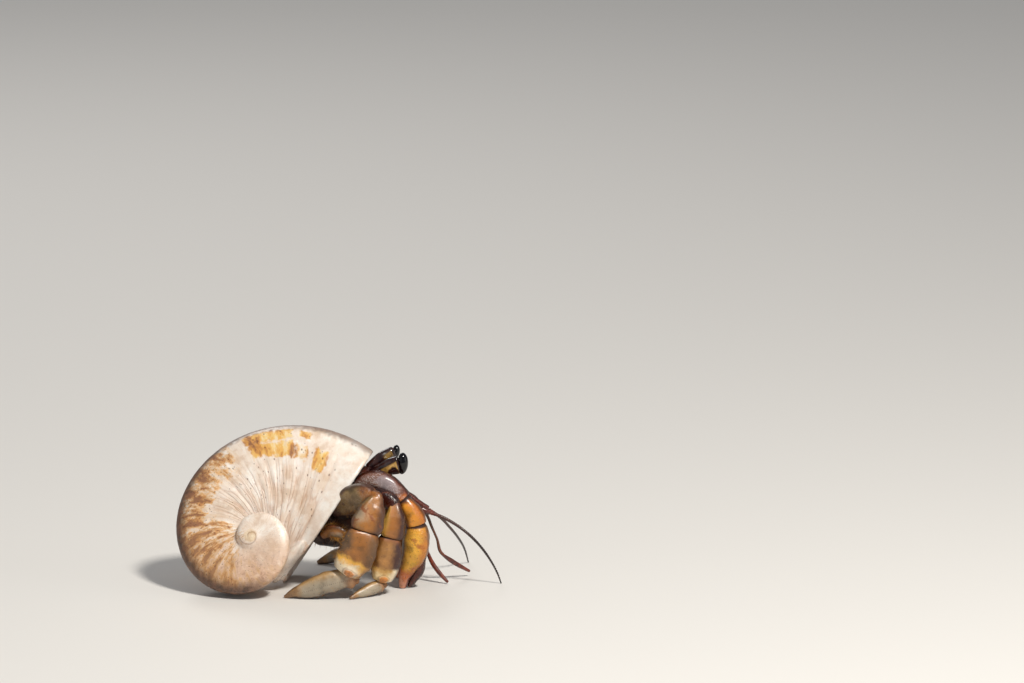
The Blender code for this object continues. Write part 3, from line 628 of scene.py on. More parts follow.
def cuticle(title, rear, middle, front, tip=None, tip_from=0.75, root=None, root_to=0.25, knob=None,
            granule_shine=0.15, dots=0.12, gloss=0.3, grit=8600, near_sheen=None, edges=0.7, dotted=None,
            glitter=0.45, shine=None, stain=None, glints=0.0, socket=1.0):
    """Hard granular cuticle. rear, middle and front run round the limb, with painted shade at its edges;
    tip and root tint its ends, near_sheen paints a lighter sheen on its outer face; dots are pores,
    granule_shine paints light on the granule tops and shade between them, shine (u, c, spread, colour) a
    pale painted highlight, glints white painted glints, and dotted (count, c, spread) rows of tiny spots."""
    mat, surface, place = new_coat(title)
    _, (u, c, d) = attribute(place, "limb")
    broad = grain(place, 700, 4, 0.6)
    fine = grain(place, 3000, 4, 0.7)
    shift = broad * 0.9 + (fine * 0.25 - 0.575)
    round_at = c * 0.5 + 0.5 + shift * 0.5
    along = u + shift * 0.22
    colour = ramp(round_at, (0.1, rear), (0.48, middle), (0.84, front))
    # Painted sheen: the outer face, turned to the lamps, is tinted lighter.
    if near_sheen:
        near_face_sheen = ramp(d * -0.5 + 0.5 + shift, (0.62, 0.0), (0.95, 1.0))
        colour = blend(near_face_sheen * 0.75, colour, near_sheen)
    colour = blend(0.7, colour, ramp(broad, (0.3, 0.55), (0.5, 1.0), (0.7, 1.35)), "MULTIPLY")
    if root:
        near_root = ramp(along, (max(0.0, root_to - 0.12), 1.0), (root_to + 0.08, 0.0))
        colour = blend(near_root, colour, root)
    # Painted highlight: a pale patch on the near face where the lamps catch it.
    if shine:
        shine_u, shine_c, spread, shine_tone = shine
        miss = ((u - shine_u) * (1 / spread))**2 + ((c - shine_c) * (0.4 / spread))**2
        near_side = ramp(d * -1, (0.2, 0.0), (0.8, 1.0))
        highlight_here = ramp(shift * 2.2 + miss, (0.1, 1.0), (0.9, 0.0)) * near_side
        colour = blend(highlight_here * 0.5, colour, shine_tone)
    if tip:
        tips = ramp(shift * 0.6 + (along * 1.6 - 0.75), (0.42, tip[0]), (0.76, tip[1]))
        tips = blend(ramp(round_at, (0.66, 0.0), (0.92, 1.0)), tips, tip[2])
        colour = blend(ramp(along, (tip_from - 0.06, 0.0), (tip_from + 0.05, 1.0)), colour, tips)
    if stain:
        colour = blend(ramp(broad, (0.56, 0.0), (0.66, 0.8)), colour, stain)
    if knob:
        miss = (c * 0.24 - 0.024)**2 + (u * 1.3 - 1.28)**2
        miss = shift * 0.16 + (sums("SQRT", miss) + sums("MAXIMUM", d, 0.0))
        colour = blend(ramp(miss, (0.07, 0.0), (0.09, 0.5), (0.14, 0.0)), colour, KNOB_EDGE)
        knob_tone = blend(0.8, knob, ramp(fine, (0.4, 0.6), (0.6, 1.2)), "MULTIPLY")
        colour = blend(ramp(miss, (0.05, 0.9), (0.09, 0.0)), colour, knob_tone)
    grain_off, drawn = cells(place, grit)
    # Painted light and shade: granule tops lighter, the hollows between them darker.
    grain_top = ramp(grain_off, (0.1, 1.0), (0.62, 0.0))
    granule_light_and_shade = ramp(grain_top, (0.0, 0.72), (0.6, 1.0), (1.0, 1.0 + granule_shine))
    colour = blend(grain_top * 0.5 - 0.1, colour, granule_light_and_shade, "MULTIPLY")
    # Painted glints: white on the granule tops of the lit near face.
    if glints:
        over = ramp(shift * 2.6 + d * -1, (0.55, 0.0), (1.15, 1.0))
        lit = over * grain_top * ramp(drawn[2], (0.1, 0.0), (0.5, 1.0))
        colour = blend(lit * glints, colour, GLINT_WHITE)
    pore_off, drawn = cells(place, 3100)
    pore = ramp(pore_off, (0.08, 1.0), (0.26, 0.0))
    pore = pore * ramp(drawn[0], (0.98 - dots, 0.0), (1.0 - dots, 1.0))
    colour = blend(pore * 0.75, colour, PORE_BROWN)
    if dotted:
        count, row_at, spread = dotted
        row = ramp(abs(c - row_at), (0.02, 1.0), (spread, 0.0))
        dot = row * ramp(sums("SINE", u * count), (0.5, 0.0), (0.95, 1.0))
        colour = blend(dot * 0.5, colour, DOT_BROWN)
    # Painted shade: the limb darkens toward its two sides, where it turns from the light.
    rim = ramp(abs(c) + shift * 0.3, (0.72, 0.0), (0.98, 1.0))
    colour = blend(rim * edges, colour, EDGE_SHADE_BROWN)
    in_joint = ramp(u, (0.02, socket), (0.05, 0.0))
    feed(surface, {
        "Base Color": blend(in_joint, colour, JOINT_BROWN),
        "Roughness": in_joint * 0.4 + (fine * 0.3 + (gloss - 0.05)),
        "Coat Weight": in_joint * -0.3 + 0.3, "Coat Roughness": 0.22, "Subsurface Weight": 0.05,
        "Subsurface Radius": (1.0, 0.4, 0.15), "Subsurface Scale": 0.0005,
        "Normal": bumped(fine - pore, 0.03, 0.6, bumped(grain_top, 0.04, glitter)),
    })
    return mat


def fitted(piece, slot_name, *nodes):
    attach(piece, "root")
    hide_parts(*nodes)


def clothe(rows, **common):
    """Draws each row's limb (CAD node, slot, coat, sizes) over its node."""
    for title, slot_name, coat, shape in rows:
        fitted(limb(title + "_skin", coat=coat, **common, **shape), slot_name, title)


CREAM, YELLOW, ORANGE = (236, 218, 188), (234, 176, 70), (196, 116, 36)
leg3_merus_coat = cuticle("mossy merus", (96, 44, 20), (112, 78, 40), (104, 84, 54), granule_shine=0.6,
                          root=(70, 34, 20), root_to=0.16, tip=((176, 120, 52), (150, 94, 40),
                          (104, 58, 28)), tip_from=0.84, gloss=0.26, near_sheen=(140, 112, 66),
                          stain=(72, 32, 16), glints=0.2)
leg3_carpus_coat = cuticle("banded carpus", (126, 100, 62), (166, 106, 42), (84, 50, 26), granule_shine=0.4,
                           root=(152, 94, 38), root_to=0.2, stain=(128, 66, 26), gloss=0.22, edges=0.65,
                           shine=(0.66, -0.55, 0.3, (186, 168, 146)))
leg3_propodus_coat = cuticle("granular propodus", (108, 82, 56), (152, 96, 38), (106, 72, 38),
                             granule_shine=0.45, dots=0.2, root=(158, 98, 42), root_to=0.12, edges=0.5,
                             tip=(YELLOW, CREAM, (176, 128, 70)), tip_from=0.7, knob=ORANGE)
dactyl_coat = cuticle("walking blade", (196, 154, 96), (138, 126, 110), (64, 42, 28), granule_shine=0.3,
                      dots=0.3, gloss=0.26, root=(164, 110, 60), root_to=0.12, edges=0.5,
                      tip=((176, 134, 82), (132, 100, 68), (60, 42, 30)), tip_from=0.8,
                      dotted=(230, 0.05, 0.06), near_sheen=(170, 156, 134), socket=0.3)
leg3_base_coat = cuticle("dark limb base", (40, 18, 12), (66, 30, 16), (44, 18, 12), granule_shine=0.1)

clothe((
    ("leg3_right_ischium", "umber_cuticle", leg3_base_coat, dict(stations=[
        (4.2, -4.5, 8.9, 0.7, 0.5), (5.2, -4.9, 9.5, 1.1, 0.75), (6.4, -5.5, 10.2, 0.95, 0.7)])),
    ("leg3_right_merus", "amber_cuticle", leg3_merus_coat, dict(stations=[
        (6.9, -6.0, 11.1, 1.0, 0.65), (8.3, -7.0, 12.2, 1.75, 0.95), (9.9, -8.3, 13.25, 1.85, 1.15),
        (11.3, -9.3, 13.9, 1.45, 1.0), (12.0, -9.7, 14.0, 0.95, 0.8)], square=2.8)),
    ("leg3_right_carpus", "amber_cuticle", leg3_carpus_coat, dict(stations=[
        (12.5, -10.0, 13.75, 0.8, 0.8), (12.15, -10.4, 12.75, 1.5, 1.2), (11.65, -10.8, 11.3, 2.0, 1.5),
        (11.2, -11.05, 10.0, 2.15, 1.5), (11.05, -11.1, 9.5, 2.0, 1.4)], square=2.7, keel=0.12,
        knee=(11.8, -9.6, 13.95))),
    ("leg3_right_propodus", "amber_cuticle", leg3_propodus_coat, dict(stations=[
        (10.85, -11.15, 9.15, 1.95, 1.35), (10.6, -11.25, 8.3, 2.35, 1.6), (10.05, -11.3, 6.7, 2.5, 1.7),
        (9.15, -11.35, 4.95, 2.38, 1.6), (8.62, -11.35, 4.05, 2.0, 1.3)], square=2.5, keel=0.1, crown=0.62,
        knob=0.22, spines=((math.pi, 0.1, 0.95, 11, 0.16, 0.5), (math.pi * 1.2, 0.15, 0.95, 10, 0.1, 0.4)))),
    ("leg3_right_dactylus", "grey_dactyl", dactyl_coat, dict(stations=[
        (9.7, -11.2, 2.8, 0.85, 0.7), (8.3, -11.2, 2.75, 1.22, 0.95), (6.2, -11.15, 2.3, 1.55, 1.0),
        (3.5, -11.0, 1.35, 1.25, 0.85), (1.5, -10.8, 0.7, 0.68, 0.5), (0.35, -10.6, 0.22, 0.22, 0.22)],
        crown=0.25, neck=0.5, tuck=0.05,
        spines=((0.4, 0.12, 0.95, 14, 0.07, 0.3), (2.2, 0.12, 0.95, 13, 0.07, 0.3)))),
))

# ---------------------------------------------------------------------------------------------------
# The right second leg: slimmer than the third, in front of it, tan behind and dark in front. Its
# tubes are tucked one into the next in the same way.
leg2_merus_coat = cuticle("dark merus", (84, 36, 18), (66, 24, 14), (42, 14, 12), gloss=0.16,
                          dots=0.08, granule_shine=0.15, stain=(110, 52, 24))
leg2_carpus_coat = cuticle("tan and dark carpus", (208, 160, 76), (164, 104, 44), (58, 24, 14),
                           granule_shine=0.3, root=(110, 56, 24), root_to=0.08, gloss=0.22, edges=0.7)
leg2_propodus_coat = cuticle("striped propodus", (112, 70, 28), (172, 122, 66), (58, 24, 14),
                             granule_shine=0.35, dots=0.16, tip=((206, 158, 84), (230, 202, 150), CREAM),
                             tip_from=0.74, knob=ORANGE, root=(140, 82, 36), root_to=0.1, edges=0.65)
clothe((
    ("leg2_right_ischium", "umber_cuticle", leg3_base_coat, dict(stations=[
        (7.4, -4.4, 10.0, 0.6, 0.45), (8.2, -4.5, 10.3, 0.9, 0.6), (9.3, -4.8, 10.9, 0.85, 0.6)])),
    ("leg2_right_merus", "umber_cuticle", leg2_merus_coat, dict(stations=[
        (9.8, -5.05, 11.6, 0.9, 0.75), (11.4, -5.95, 12.4, 1.3, 1.05), (13.0, -6.8, 12.9, 1.35, 1.05),
        (14.3, -7.5, 12.6, 1.2, 0.95), (14.95, -7.9, 12.1, 0.95, 0.85)])),
    ("leg2_right_carpus", "amber_cuticle", leg2_carpus_coat, dict(stations=[
        (14.95, -8.05, 11.7, 0.9, 0.8), (14.9, -8.3, 10.6, 1.4, 1.1), (14.7, -8.5, 9.3, 1.6, 1.2),
        (14.5, -8.6, 8.3, 1.6, 1.15), (14.4, -8.65, 7.95, 1.4, 1.05)], square=2.6, keel=0.12,
        knee=(14.88, -7.7, 12.2))),
    ("leg2_right_propodus", "amber_cuticle", leg2_propodus_coat, dict(stations=[
        (14.25, -8.65, 7.65, 1.4, 1.05), (14.1, -8.7, 6.9, 1.8, 1.3), (13.85, -8.75, 5.3, 1.98, 1.4),
        (13.45, -8.8, 3.3, 1.8, 1.3), (13.28, -8.8, 2.4, 1.45, 1.05)], square=2.4, keel=0.1, crown=0.5,
        knob=0.2, spines=((math.pi, 0.1, 0.95, 10, 0.1, 0.4),))),
    ("leg2_right_dactylus", "grey_dactyl", dactyl_coat, dict(stations=[
        (13.3, -8.85, 1.4, 0.6, 0.6), (12.4, -9.2, 1.15, 0.85, 0.75), (10.8, -10.2, 0.75, 0.7, 0.62),
        (9.05, -11.45, 0.2, 0.2, 0.2)], neck=0.55, tuck=0.05, spines=((0.4, 0.12, 0.95, 9, 0.05, 0.25),))),
))

# ---------------------------------------------------------------------------------------------------
# The right claw: a shiny red-brown arch over the legs, then an ochre wrist and a granular ochre hand
# whose pink-tipped fixed finger meets a dark moving one.
arch_coat = cuticle("red-brown arch", (52, 20, 14), (104, 60, 44), (100, 40, 20), granule_shine=0.6,
                    dots=0.06, gloss=0.12, grit=8200, glitter=1.0, tip=((150, 76, 34), (196, 110, 40),
                    (96, 36, 20)), tip_from=0.92, near_sheen=(136, 100, 86), glints=1.0,
                    shine=(0.62, 0.1, 0.3, (196, 184, 190)))
wrist_coat = cuticle("ochre wrist", (140, 84, 36), (222, 146, 44), (186, 108, 32), granule_shine=0.25,
                     dots=0.12, gloss=0.2, root=(96, 46, 22), root_to=0.16, edges=0.75)
hand_coat = cuticle("ochre hand", (206, 150, 62), (238, 178, 60), (190, 118, 38), granule_shine=0.35,
                    dots=0.45, gloss=0.2, grit=5600, tip=((196, 104, 40), (206, 140, 110),
                    (120, 50, 34)), tip_from=0.72, stain=(168, 92, 30), root=(214, 146, 52), root_to=0.1,
                    edges=0.75, glitter=0.9)
finger_coat = cuticle("dark finger", (70, 24, 16), (92, 34, 20), (58, 20, 14), granule_shine=0.25,
                      dots=0.16, gloss=0.12, glitter=0.9)
clothe((
    ("claw_right_ischium", "umber_cuticle", arch_coat, dict(stations=[
        (8.2, -4.5, 12.4, 0.6, 0.5), (8.8, -4.6, 12.8, 0.9, 0.7), (9.7, -4.78, 13.4, 0.9, 0.75)])),
    ("claw_right_merus", "umber_cuticle", arch_coat, dict(stations=[
        (10.1, -4.9, 14.1, 0.95, 0.8), (11.3, -5.2, 14.9, 1.2, 1.1), (13.0, -5.4, 14.95, 1.35, 1.3),
        (14.7, -5.8, 13.95, 1.35, 1.25), (15.9, -6.0, 12.6, 1.2, 1.05)], neck=0.6)),
    ("claw_right_carpus", "ochre_claw", wrist_coat, dict(stations=[
        (16.25, -6.05, 12.2, 0.95, 0.95), (16.85, -6.1, 11.3, 1.25, 1.25), (17.5, -6.1, 10.1, 1.45, 1.45),
        (17.75, -6.1, 9.2, 1.4, 1.35)], keel=0.08)),
    ("claw_right_palm", "ochre_claw", hand_coat, dict(stations=[
        (17.8, -6.1, 8.85, 1.35, 1.35), (17.85, -6.05, 7.9, 1.65, 1.65), (17.75, -5.9, 6.3, 1.78, 1.78),
        (17.4, -5.65, 4.65, 1.62, 1.6), (16.75, -5.35, 3.2, 1.2, 1.15), (16.15, -5.0, 1.6, 0.82, 0.85),
        (15.95, -4.8, 0.35, 0.5, 0.5)], lift=0.04, grit=0.34, crown=0.3)),
    ("claw_right_dactyl", "umber_cuticle", finger_coat, dict(stations=[
        (18.55, -5.0, 4.0, 0.5, 0.6), (18.25, -4.9, 2.95, 0.74, 0.76), (17.7, -4.7, 1.7, 0.62, 0.66),
        (17.15, -4.5, 0.75, 0.42, 0.44), (16.9, -4.4, 0.35, 0.3, 0.3)], crown=0.25, lift=0.05, grit=0.42)),
))

# ---------------------------------------------------------------------------------------------------
# The left claw, the larger one, half hidden behind the right: the same shells, darker at the wrist.
far_wrist_coat = cuticle("dark wrist", (70, 34, 20), (98, 52, 26), (128, 74, 34), granule_shine=0.3)
far_hand_coat = cuticle("brown hand", (120, 70, 34), (166, 104, 42), (184, 118, 48), granule_shine=0.35,
                        dots=0.3, grit=3400, tip=((190, 134, 104), (176, 110, 80), (140, 80, 56)),
                        tip_from=0.86)
clothe((
    ("claw_left_ischium", "umber_cuticle", arch_coat, dict(stations=[
        (8.5, 0.35, 11.3, 0.7, 0.5), (9.1, 0.5, 11.5, 1.0, 0.75), (10.0, 0.68, 11.8, 0.95, 0.75)])),
    ("claw_left_merus", "umber_cuticle", arch_coat, dict(stations=[
        (10.5, 0.8, 11.95, 1.05, 0.85), (12.0, 1.4, 12.25, 1.55, 1.3), (13.6, 1.8, 11.9, 1.65, 1.4),
        (14.6, 2.02, 11.25, 1.3, 1.15)])),
    ("claw_left_carpus", "amber_cuticle", far_wrist_coat, dict(stations=[
        (15.15, 2.1, 10.85, 1.15, 1.1), (15.9, 2.2, 10.2, 1.7, 1.6), (16.7, 2.2, 9.15, 1.85, 1.8),
        (17.0, 2.2, 8.3, 1.5, 1.45)])),
    ("claw_left_palm", "amber_cuticle", far_hand_coat, dict(stations=[
        (17.1, 2.2, 7.8, 1.45, 1.45), (17.1, 2.15, 6.9, 1.95, 2.1), (16.9, 1.95, 5.5, 2.0, 2.3),
        (16.45, 1.65, 4.0, 1.55, 1.85), (15.9, 1.2, 2.6, 0.95, 1.15), (15.5, 0.8, 1.3, 0.66, 0.78),
        (15.25, 0.45, 0.35, 0.42, 0.45)], lift=0.05, grit=0.32)),
    ("claw_left_dactyl", "umber_cuticle", finger_coat, dict(stations=[
        (18.75, 1.95, 4.0, 0.5, 0.65), (18.55, 1.75, 3.1, 0.66, 0.88), (17.95, 1.35, 1.9, 0.56, 0.72),
        (17.2, 0.9, 0.9, 0.4, 0.5), (16.6, 0.6, 0.38, 0.3, 0.34)])),
), around=52, pitch=0.18)

# ---------------------------------------------------------------------------------------------------
# The far legs, left second and third, stepping the other way round. They have the near legs' shapes
# and cuticle, seen from their inner side.
clothe((
    ("leg2_left_ischium", "umber_cuticle", leg3_base_coat, dict(stations=[
        (7.6, 0.2, 8.6, 0.6, 0.45), (8.4, 0.4, 8.8, 0.85, 0.6), (9.4, 0.72, 9.1, 0.8, 0.62)])),
    ("leg2_left_merus", "umber_cuticle", leg2_merus_coat, dict(stations=[
        (9.9, 1.1, 9.2, 0.85, 0.7), (11.6, 2.5, 9.3, 1.2, 1.0), (13.3, 4.1, 10.0, 1.2, 1.0),
        (14.25, 5.05, 10.45, 0.95, 0.8)])),
    ("leg2_left_carpus", "amber_cuticle", leg2_carpus_coat, dict(stations=[
        (14.9, 5.95, 10.5, 0.85, 0.75), (15.3, 6.5, 9.5, 1.4, 1.1), (15.4, 6.8, 8.3, 1.6, 1.2),
        (15.4, 6.9, 7.4, 1.3, 0.95)], knee=(14.2, 5.0, 10.4))),
    ("leg2_left_propodus", "amber_cuticle", leg2_propodus_coat, dict(stations=[
        (15.4, 6.95, 7.1, 1.25, 0.95), (15.35, 7.0, 6.1, 1.7, 1.25), (15.2, 7.1, 4.6, 1.75, 1.3),
        (14.9, 7.2, 3.1, 1.45, 1.1), (14.75, 7.25, 2.45, 1.1, 0.9)])),
    ("leg2_left_dactylus", "grey_dactyl", dactyl_coat, dict(stations=[
        (14.8, 7.45, 1.6, 0.62, 0.6), (14.0, 7.9, 1.35, 0.88, 0.75), (12.5, 9.1, 0.8, 0.7, 0.62),
        (11.15, 10.25, 0.2, 0.2, 0.2)], neck=0.55, tuck=0.05)),
    ("leg3_left_ischium", "umber_cuticle", leg3_base_coat, dict(stations=[
        (4.4, 0.3, 7.2, 0.6, 0.45), (5.4, 0.6, 7.5, 0.9, 0.65), (6.5, 1.05, 7.85, 0.85, 0.62)])),
    ("leg3_left_merus", "amber_cuticle", leg3_merus_coat, dict(stations=[
        (7.0, 1.4, 8.1, 1.0, 0.75), (8.7, 3.2, 8.4, 1.25, 1.0), (10.6, 5.3, 9.7, 1.35, 1.1),
        (11.6, 6.35, 10.35, 1.05, 0.9)])),
    ("leg3_left_carpus", "amber_cuticle", leg3_carpus_coat, dict(stations=[
        (12.15, 7.15, 10.6, 0.95, 0.85), (12.4, 7.7, 9.6, 1.35, 1.15), (12.1, 8.1, 8.5, 1.65, 1.3),
        (11.9, 8.3, 7.7, 1.4, 1.05)], knee=(11.5, 6.25, 10.3))),
    ("leg3_left_propodus", "amber_cuticle", leg3_propodus_coat, dict(stations=[
        (11.8, 8.4, 7.35, 1.35, 1.0), (11.6, 8.6, 6.4, 1.65, 1.35), (11.1, 8.8, 5.0, 1.75, 1.4),
        (10.5, 8.9, 3.8, 1.5, 1.2), (10.2, 8.9, 3.2, 1.15, 0.9)],
        spines=((math.pi, 0.1, 0.95, 10, 0.12, 0.45),))),
    ("leg3_left_dactylus", "grey_dactyl", dactyl_coat, dict(stations=[
        (10.7, 9.1, 2.1, 0.62, 0.62), (9.6, 9.2, 2.0, 0.92, 0.82), (7.8, 9.4, 1.45, 0.98, 0.76),
        (5.9, 9.5, 0.85, 0.76, 0.56), (4.35, 9.4, 0.24, 0.24, 0.24)], neck=0.6, tuck=0.05)),
    ("leg4_left", "amber_cuticle", leg3_carpus_coat, dict(stations=[
        (5.2, 1.6, 5.6, 0.4, 0.4), (6.3, 2.1, 5.9, 0.6, 0.55), (7.6, 2.4, 5.7, 0.55, 0.5),
        (8.4, 2.5, 5.1, 0.35, 0.35)])),
    ("leg4_right", "amber_cuticle", leg3_carpus_coat, dict(stations=[
        (5.3, -6.0, 7.6, 0.5, 0.4), (6.4, -6.5, 8.3, 0.85, 0.6), (7.6, -6.9, 8.2, 0.8, 0.55),
        (8.5, -7.0, 7.5, 0.5, 0.4)])),
), around=48, pitch=0.18)

# ---------------------------------------------------------------------------------------------------
# The body between the legs, the hard shield above it, the mouthparts, and the soft abdomen that
# fills the coil of the shell.
# The trunk's dark brown is partly its own cuticle and partly painted shade of the hollow under the shell.
body_and_shade_coat = cuticle("body cuticle and painted shade", (44, 20, 12), (70, 34, 18), (52, 22, 14), granule_shine=0.15)
shield_coat = cuticle("dark shield", (40, 16, 12), (54, 24, 16), (70, 30, 20), gloss=0.18, granule_shine=0.25,
                      dots=0.1)
mouth_coat = cuticle("mouthpart", (150, 94, 50), (176, 110, 56), (140, 80, 42), granule_shine=0.3)
MIDLINE, MOUTHPART_OFF, MOUTHPART_BOW = -2.0, 0.75, 0.1
clothe((
    ("trunk", "umber_cuticle", body_and_shade_coat, dict(stations=[
        (2.6, -2, 8.2, 1.6, 1.2), (4.6, -2.1, 8.4, 3.2, 2.2), (7.4, -2.1, 9.4, 4.0, 2.5),
        (10.4, -2.1, 10.3, 3.7, 2.5), (12.5, -2.1, 10.9, 2.6, 1.9), (13.5, -2.1, 11.2, 1.4, 1.1)])),
    ("shield", "dark_cuticle", shield_coat, dict(stations=[
        (6.6, -2, 14.5, 0.4, 1.1), (8.2, -2, 14.9, 0.7, 1.85), (10.3, -2, 15.25, 0.85, 2.05),
        (11.4, -2, 15.25, 0.7, 1.65), (12.1, -2, 15.2, 0.4, 0.9)])),
))
for word, way in (("right", -1), ("left", 1)):
    y = MIDLINE + MOUTHPART_OFF * way
    clothe(((f"maxilliped_{word}", "amber_cuticle", mouth_coat, dict(stations=[
        (13.7, y, 10.4, 0.5, 0.45), (14.8, y + way * MOUTHPART_BOW, 9.5, 0.75, 0.55),
        (15.6, y, 8.0, 0.6, 0.5), (15.8, y, 6.6, 0.35, 0.35)])),), around=40)

BELLY_INSET, BELLY_AROUND, BELLY_TURNS = 0.42, 48, np.linspace(-0.34, -0.11, 24)
belly_coat, surface, place = new_coat("soft belly skin")
folds = grain(place, 700, 4, 0.6)
feed(surface, {"Base Color": ramp(folds, (0.35, (150, 96, 66)), (0.65, (190, 138, 102))),
               "Roughness": 0.45, "Normal": bumped(folds, 0.1, 0.6)})
bm = sweep([(growing_edge(t, BELLY_INSET, BELLY_AROUND) + APEX) * MM for t in BELLY_TURNS])
fitted(piece_of("belly", bm, belly_coat), "soft_abdomen", "abdomen")

# ---------------------------------------------------------------------------------------------------
# The eyes: flattened stalks of near-black cuticle with a golden fork, which stand out from under the
# front of the shield, each capped by a glossy black cornea of many small facets.
STALK = dict(lift=0, tuck=0, around=56, pitch=0.12)


def stalk_coat(title, low, high, under, over, gold_tone, oval=None):
    """Near-black stalk cuticle with a golden field, u from low to high and c from under to over,
    broken by a dark oval (u, c, reach along, reach round)."""
    mat, surface, place = new_coat(title)
    _, (u, c, _) = attribute(place, "limb")
    haze = grain(place, 1300, 4, 0.6)
    u = haze * 0.1 + (u - 0.05)
    c = haze * 0.4 + (c - 0.2)
    slanted = u * -0.5 + (c + 0.45)
    gilt = (ramp(u, (low - 0.08, 0.0), (low + 0.08, 1.0)) * ramp(u, (high - 0.02, 1.0), (high + 0.03, 0.0))
            * ramp(c * 0.5 + 0.5, (under / 2 + 0.4, 0.0), (under / 2 + 0.56, 1.0))
            * ramp(slanted * 0.5 + 0.5, (over / 2 + 0.44, 1.0), (over / 2 + 0.56, 0.0)))
    if oval:
        oval_u, oval_c, reach_u, reach_c = oval
        miss = ((u - oval_u) * (1 / reach_u))**2 + ((c - oval_c) * (1 / reach_c))**2
        gilt = gilt * ramp(miss, (0.6, 0.0), (1.0, 1.0))
    dark = ramp(haze, (0.35, (24, 9, 13)), (0.65, (54, 26, 22)))
    gold = blend(0.7, gold_tone, ramp(haze, (0.33, 0.5), (0.62, 1.25)), "MULTIPLY")
    feed(surface, {"Base Color": blend(gilt, dark, gold), "Roughness": 0.2, "Coat Weight": 0.5,
                   "Coat Roughness": 0.08, "Normal": bumped(haze, 0.03, 0.4)})
    return mat


near_stalk_coat = stalk_coat("near eyestalk", 0.36, 0.99, -0.95, 0.36, (196, 152, 80),
                             (0.78, -0.6, 0.24, 0.66))
far_stalk_coat = stalk_coat("far eyestalk", 0.62, 0.93, -0.1, 0.5, (140, 108, 54))
cornea_coat, surface, place = new_coat("cornea")
facet, _ = cells(place, 16000)
feed(surface, {"Base Color": ramp(facet, (0.2, (8, 6, 12)), (0.6, (3, 2, 5))), "Roughness": 0.08,
               "Specular IOR Level": 0.3, "Coat Weight": 0.35, "Coat Roughness": 0.03,
               "Normal": bumped(facet, 0.004, 0.3)})
clothe((
    ("eyestalk_right", "dark_cuticle", near_stalk_coat, dict(stations=[
        (11.9, -2.85, 15.6, 0.55, 0.5), (13.2, -3.05, 16.0, 0.85, 0.62), (14.4, -3.2, 16.4, 1.12, 0.72),
        (15.35, -3.3, 16.68, 1.22, 0.68)], crown=0.3)),
    ("eyestalk_left", "dark_cuticle", far_stalk_coat, dict(stations=[
        (11.5, -1.15, 15.9, 0.6, 0.5), (12.5, -0.75, 16.5, 0.85, 0.6), (13.7, -0.3, 17.1, 0.98, 0.66),
        (14.6, 0.05, 17.5, 0.9, 0.62)], crown=0.4)),
), **STALK)
for word, centre, half, lean in (
    ("right", (15.9, -3.35, 16.85), (0.8, 0.86, 1.47), 3),
    ("left", (14.95, 0.3, 17.6), (0.6, 0.72, 1.0), 12),
):
    # A sphere, flattened on its stalk side, drawn out to an oval cap and leaned.
    bm = bmesh.new()
    bmesh.ops.create_uvsphere(bm, u_segments=56, v_segments=36, radius=1)
    for v in bm.verts:
        if v.co.x < 0:
            v.co.x *= 0.75 + 0.2 * v.co.z * v.co.z
    bmesh.ops.scale(bm, vec=Vector(half) * MM, verts=bm.verts[:])
    bmesh.ops.rotate(bm, matrix=Matrix.Rotation(math.radians(lean), 3, "Y"), verts=bm.verts[:])
    bmesh.ops.translate(bm, vec=Vector(centre) * MM, verts=bm.verts[:])
    fitted(piece_of(f"cornea_{word}_skin", bm, cornea_coat), "cornea_black", f"cornea_{word}")

# ---------------------------------------------------------------------------------------------------
# The feelers, thin cuticle tubes jointed to the head below the eyes: antennae with long lashes of
# tiny rings, and antennules with blunt red end pieces.
RINGS, RING_RISE = 260, 0.018
HAZE_TONES = ((0.3, 0.55), (0.7, 1.3))
lash_coat, surface, place = new_coat("feeler")
_, (u, _, _) = attribute(place, "limb")
ringed = ramp(sums("SINE", u * RINGS), (0.0, 0.7), (0.5, 1.0))
tone = ramp(u, (0.0, (112, 44, 26)), (0.15, (70, 34, 22)), (0.6, (40, 24, 18)))
tone = blend(0.6, tone, ramp(grain(place, 1500, 4, 0.6), *HAZE_TONES), "MULTIPLY")
feed(surface, {"Base Color": blend(0.5, tone, ringed, "MULTIPLY"), "Roughness": 0.28, "Coat Weight": 0.3})
red_end_coat, surface, place = new_coat("red end piece")
haze = grain(place, 1800, 4, 0.6)
feed(surface, {"Base Color": ramp(haze, (0.32, (66, 24, 14)), (0.66, (124, 50, 28))), "Roughness": 0.3,
               "Coat Weight": 0.4, "Normal": bumped(haze, 0.03, 0.5)})
stem_coat, surface, place = new_coat("amber stem")
_, (u, _, _) = attribute(place, "limb")
tone = ramp(u, (0.0, (60, 26, 16)), (0.45, (66, 32, 18)), (0.75, (96, 52, 26)), (1.0, (104, 50, 26)))
tone = blend(0.6, tone, ramp(grain(place, 1500, 4, 0.6), *HAZE_TONES), "MULTIPLY")
feed(surface, {"Base Color": tone, "Roughness": 0.26, "Coat Weight": 0.4})
knob_coat = cuticle("feeler base", (60, 22, 14), (84, 32, 20), (96, 38, 24), granule_shine=0.2, dots=0.05,
                    gloss=0.14)


def rings_along(u, c, d):
    return RING_RISE * math.sin(u * RINGS)


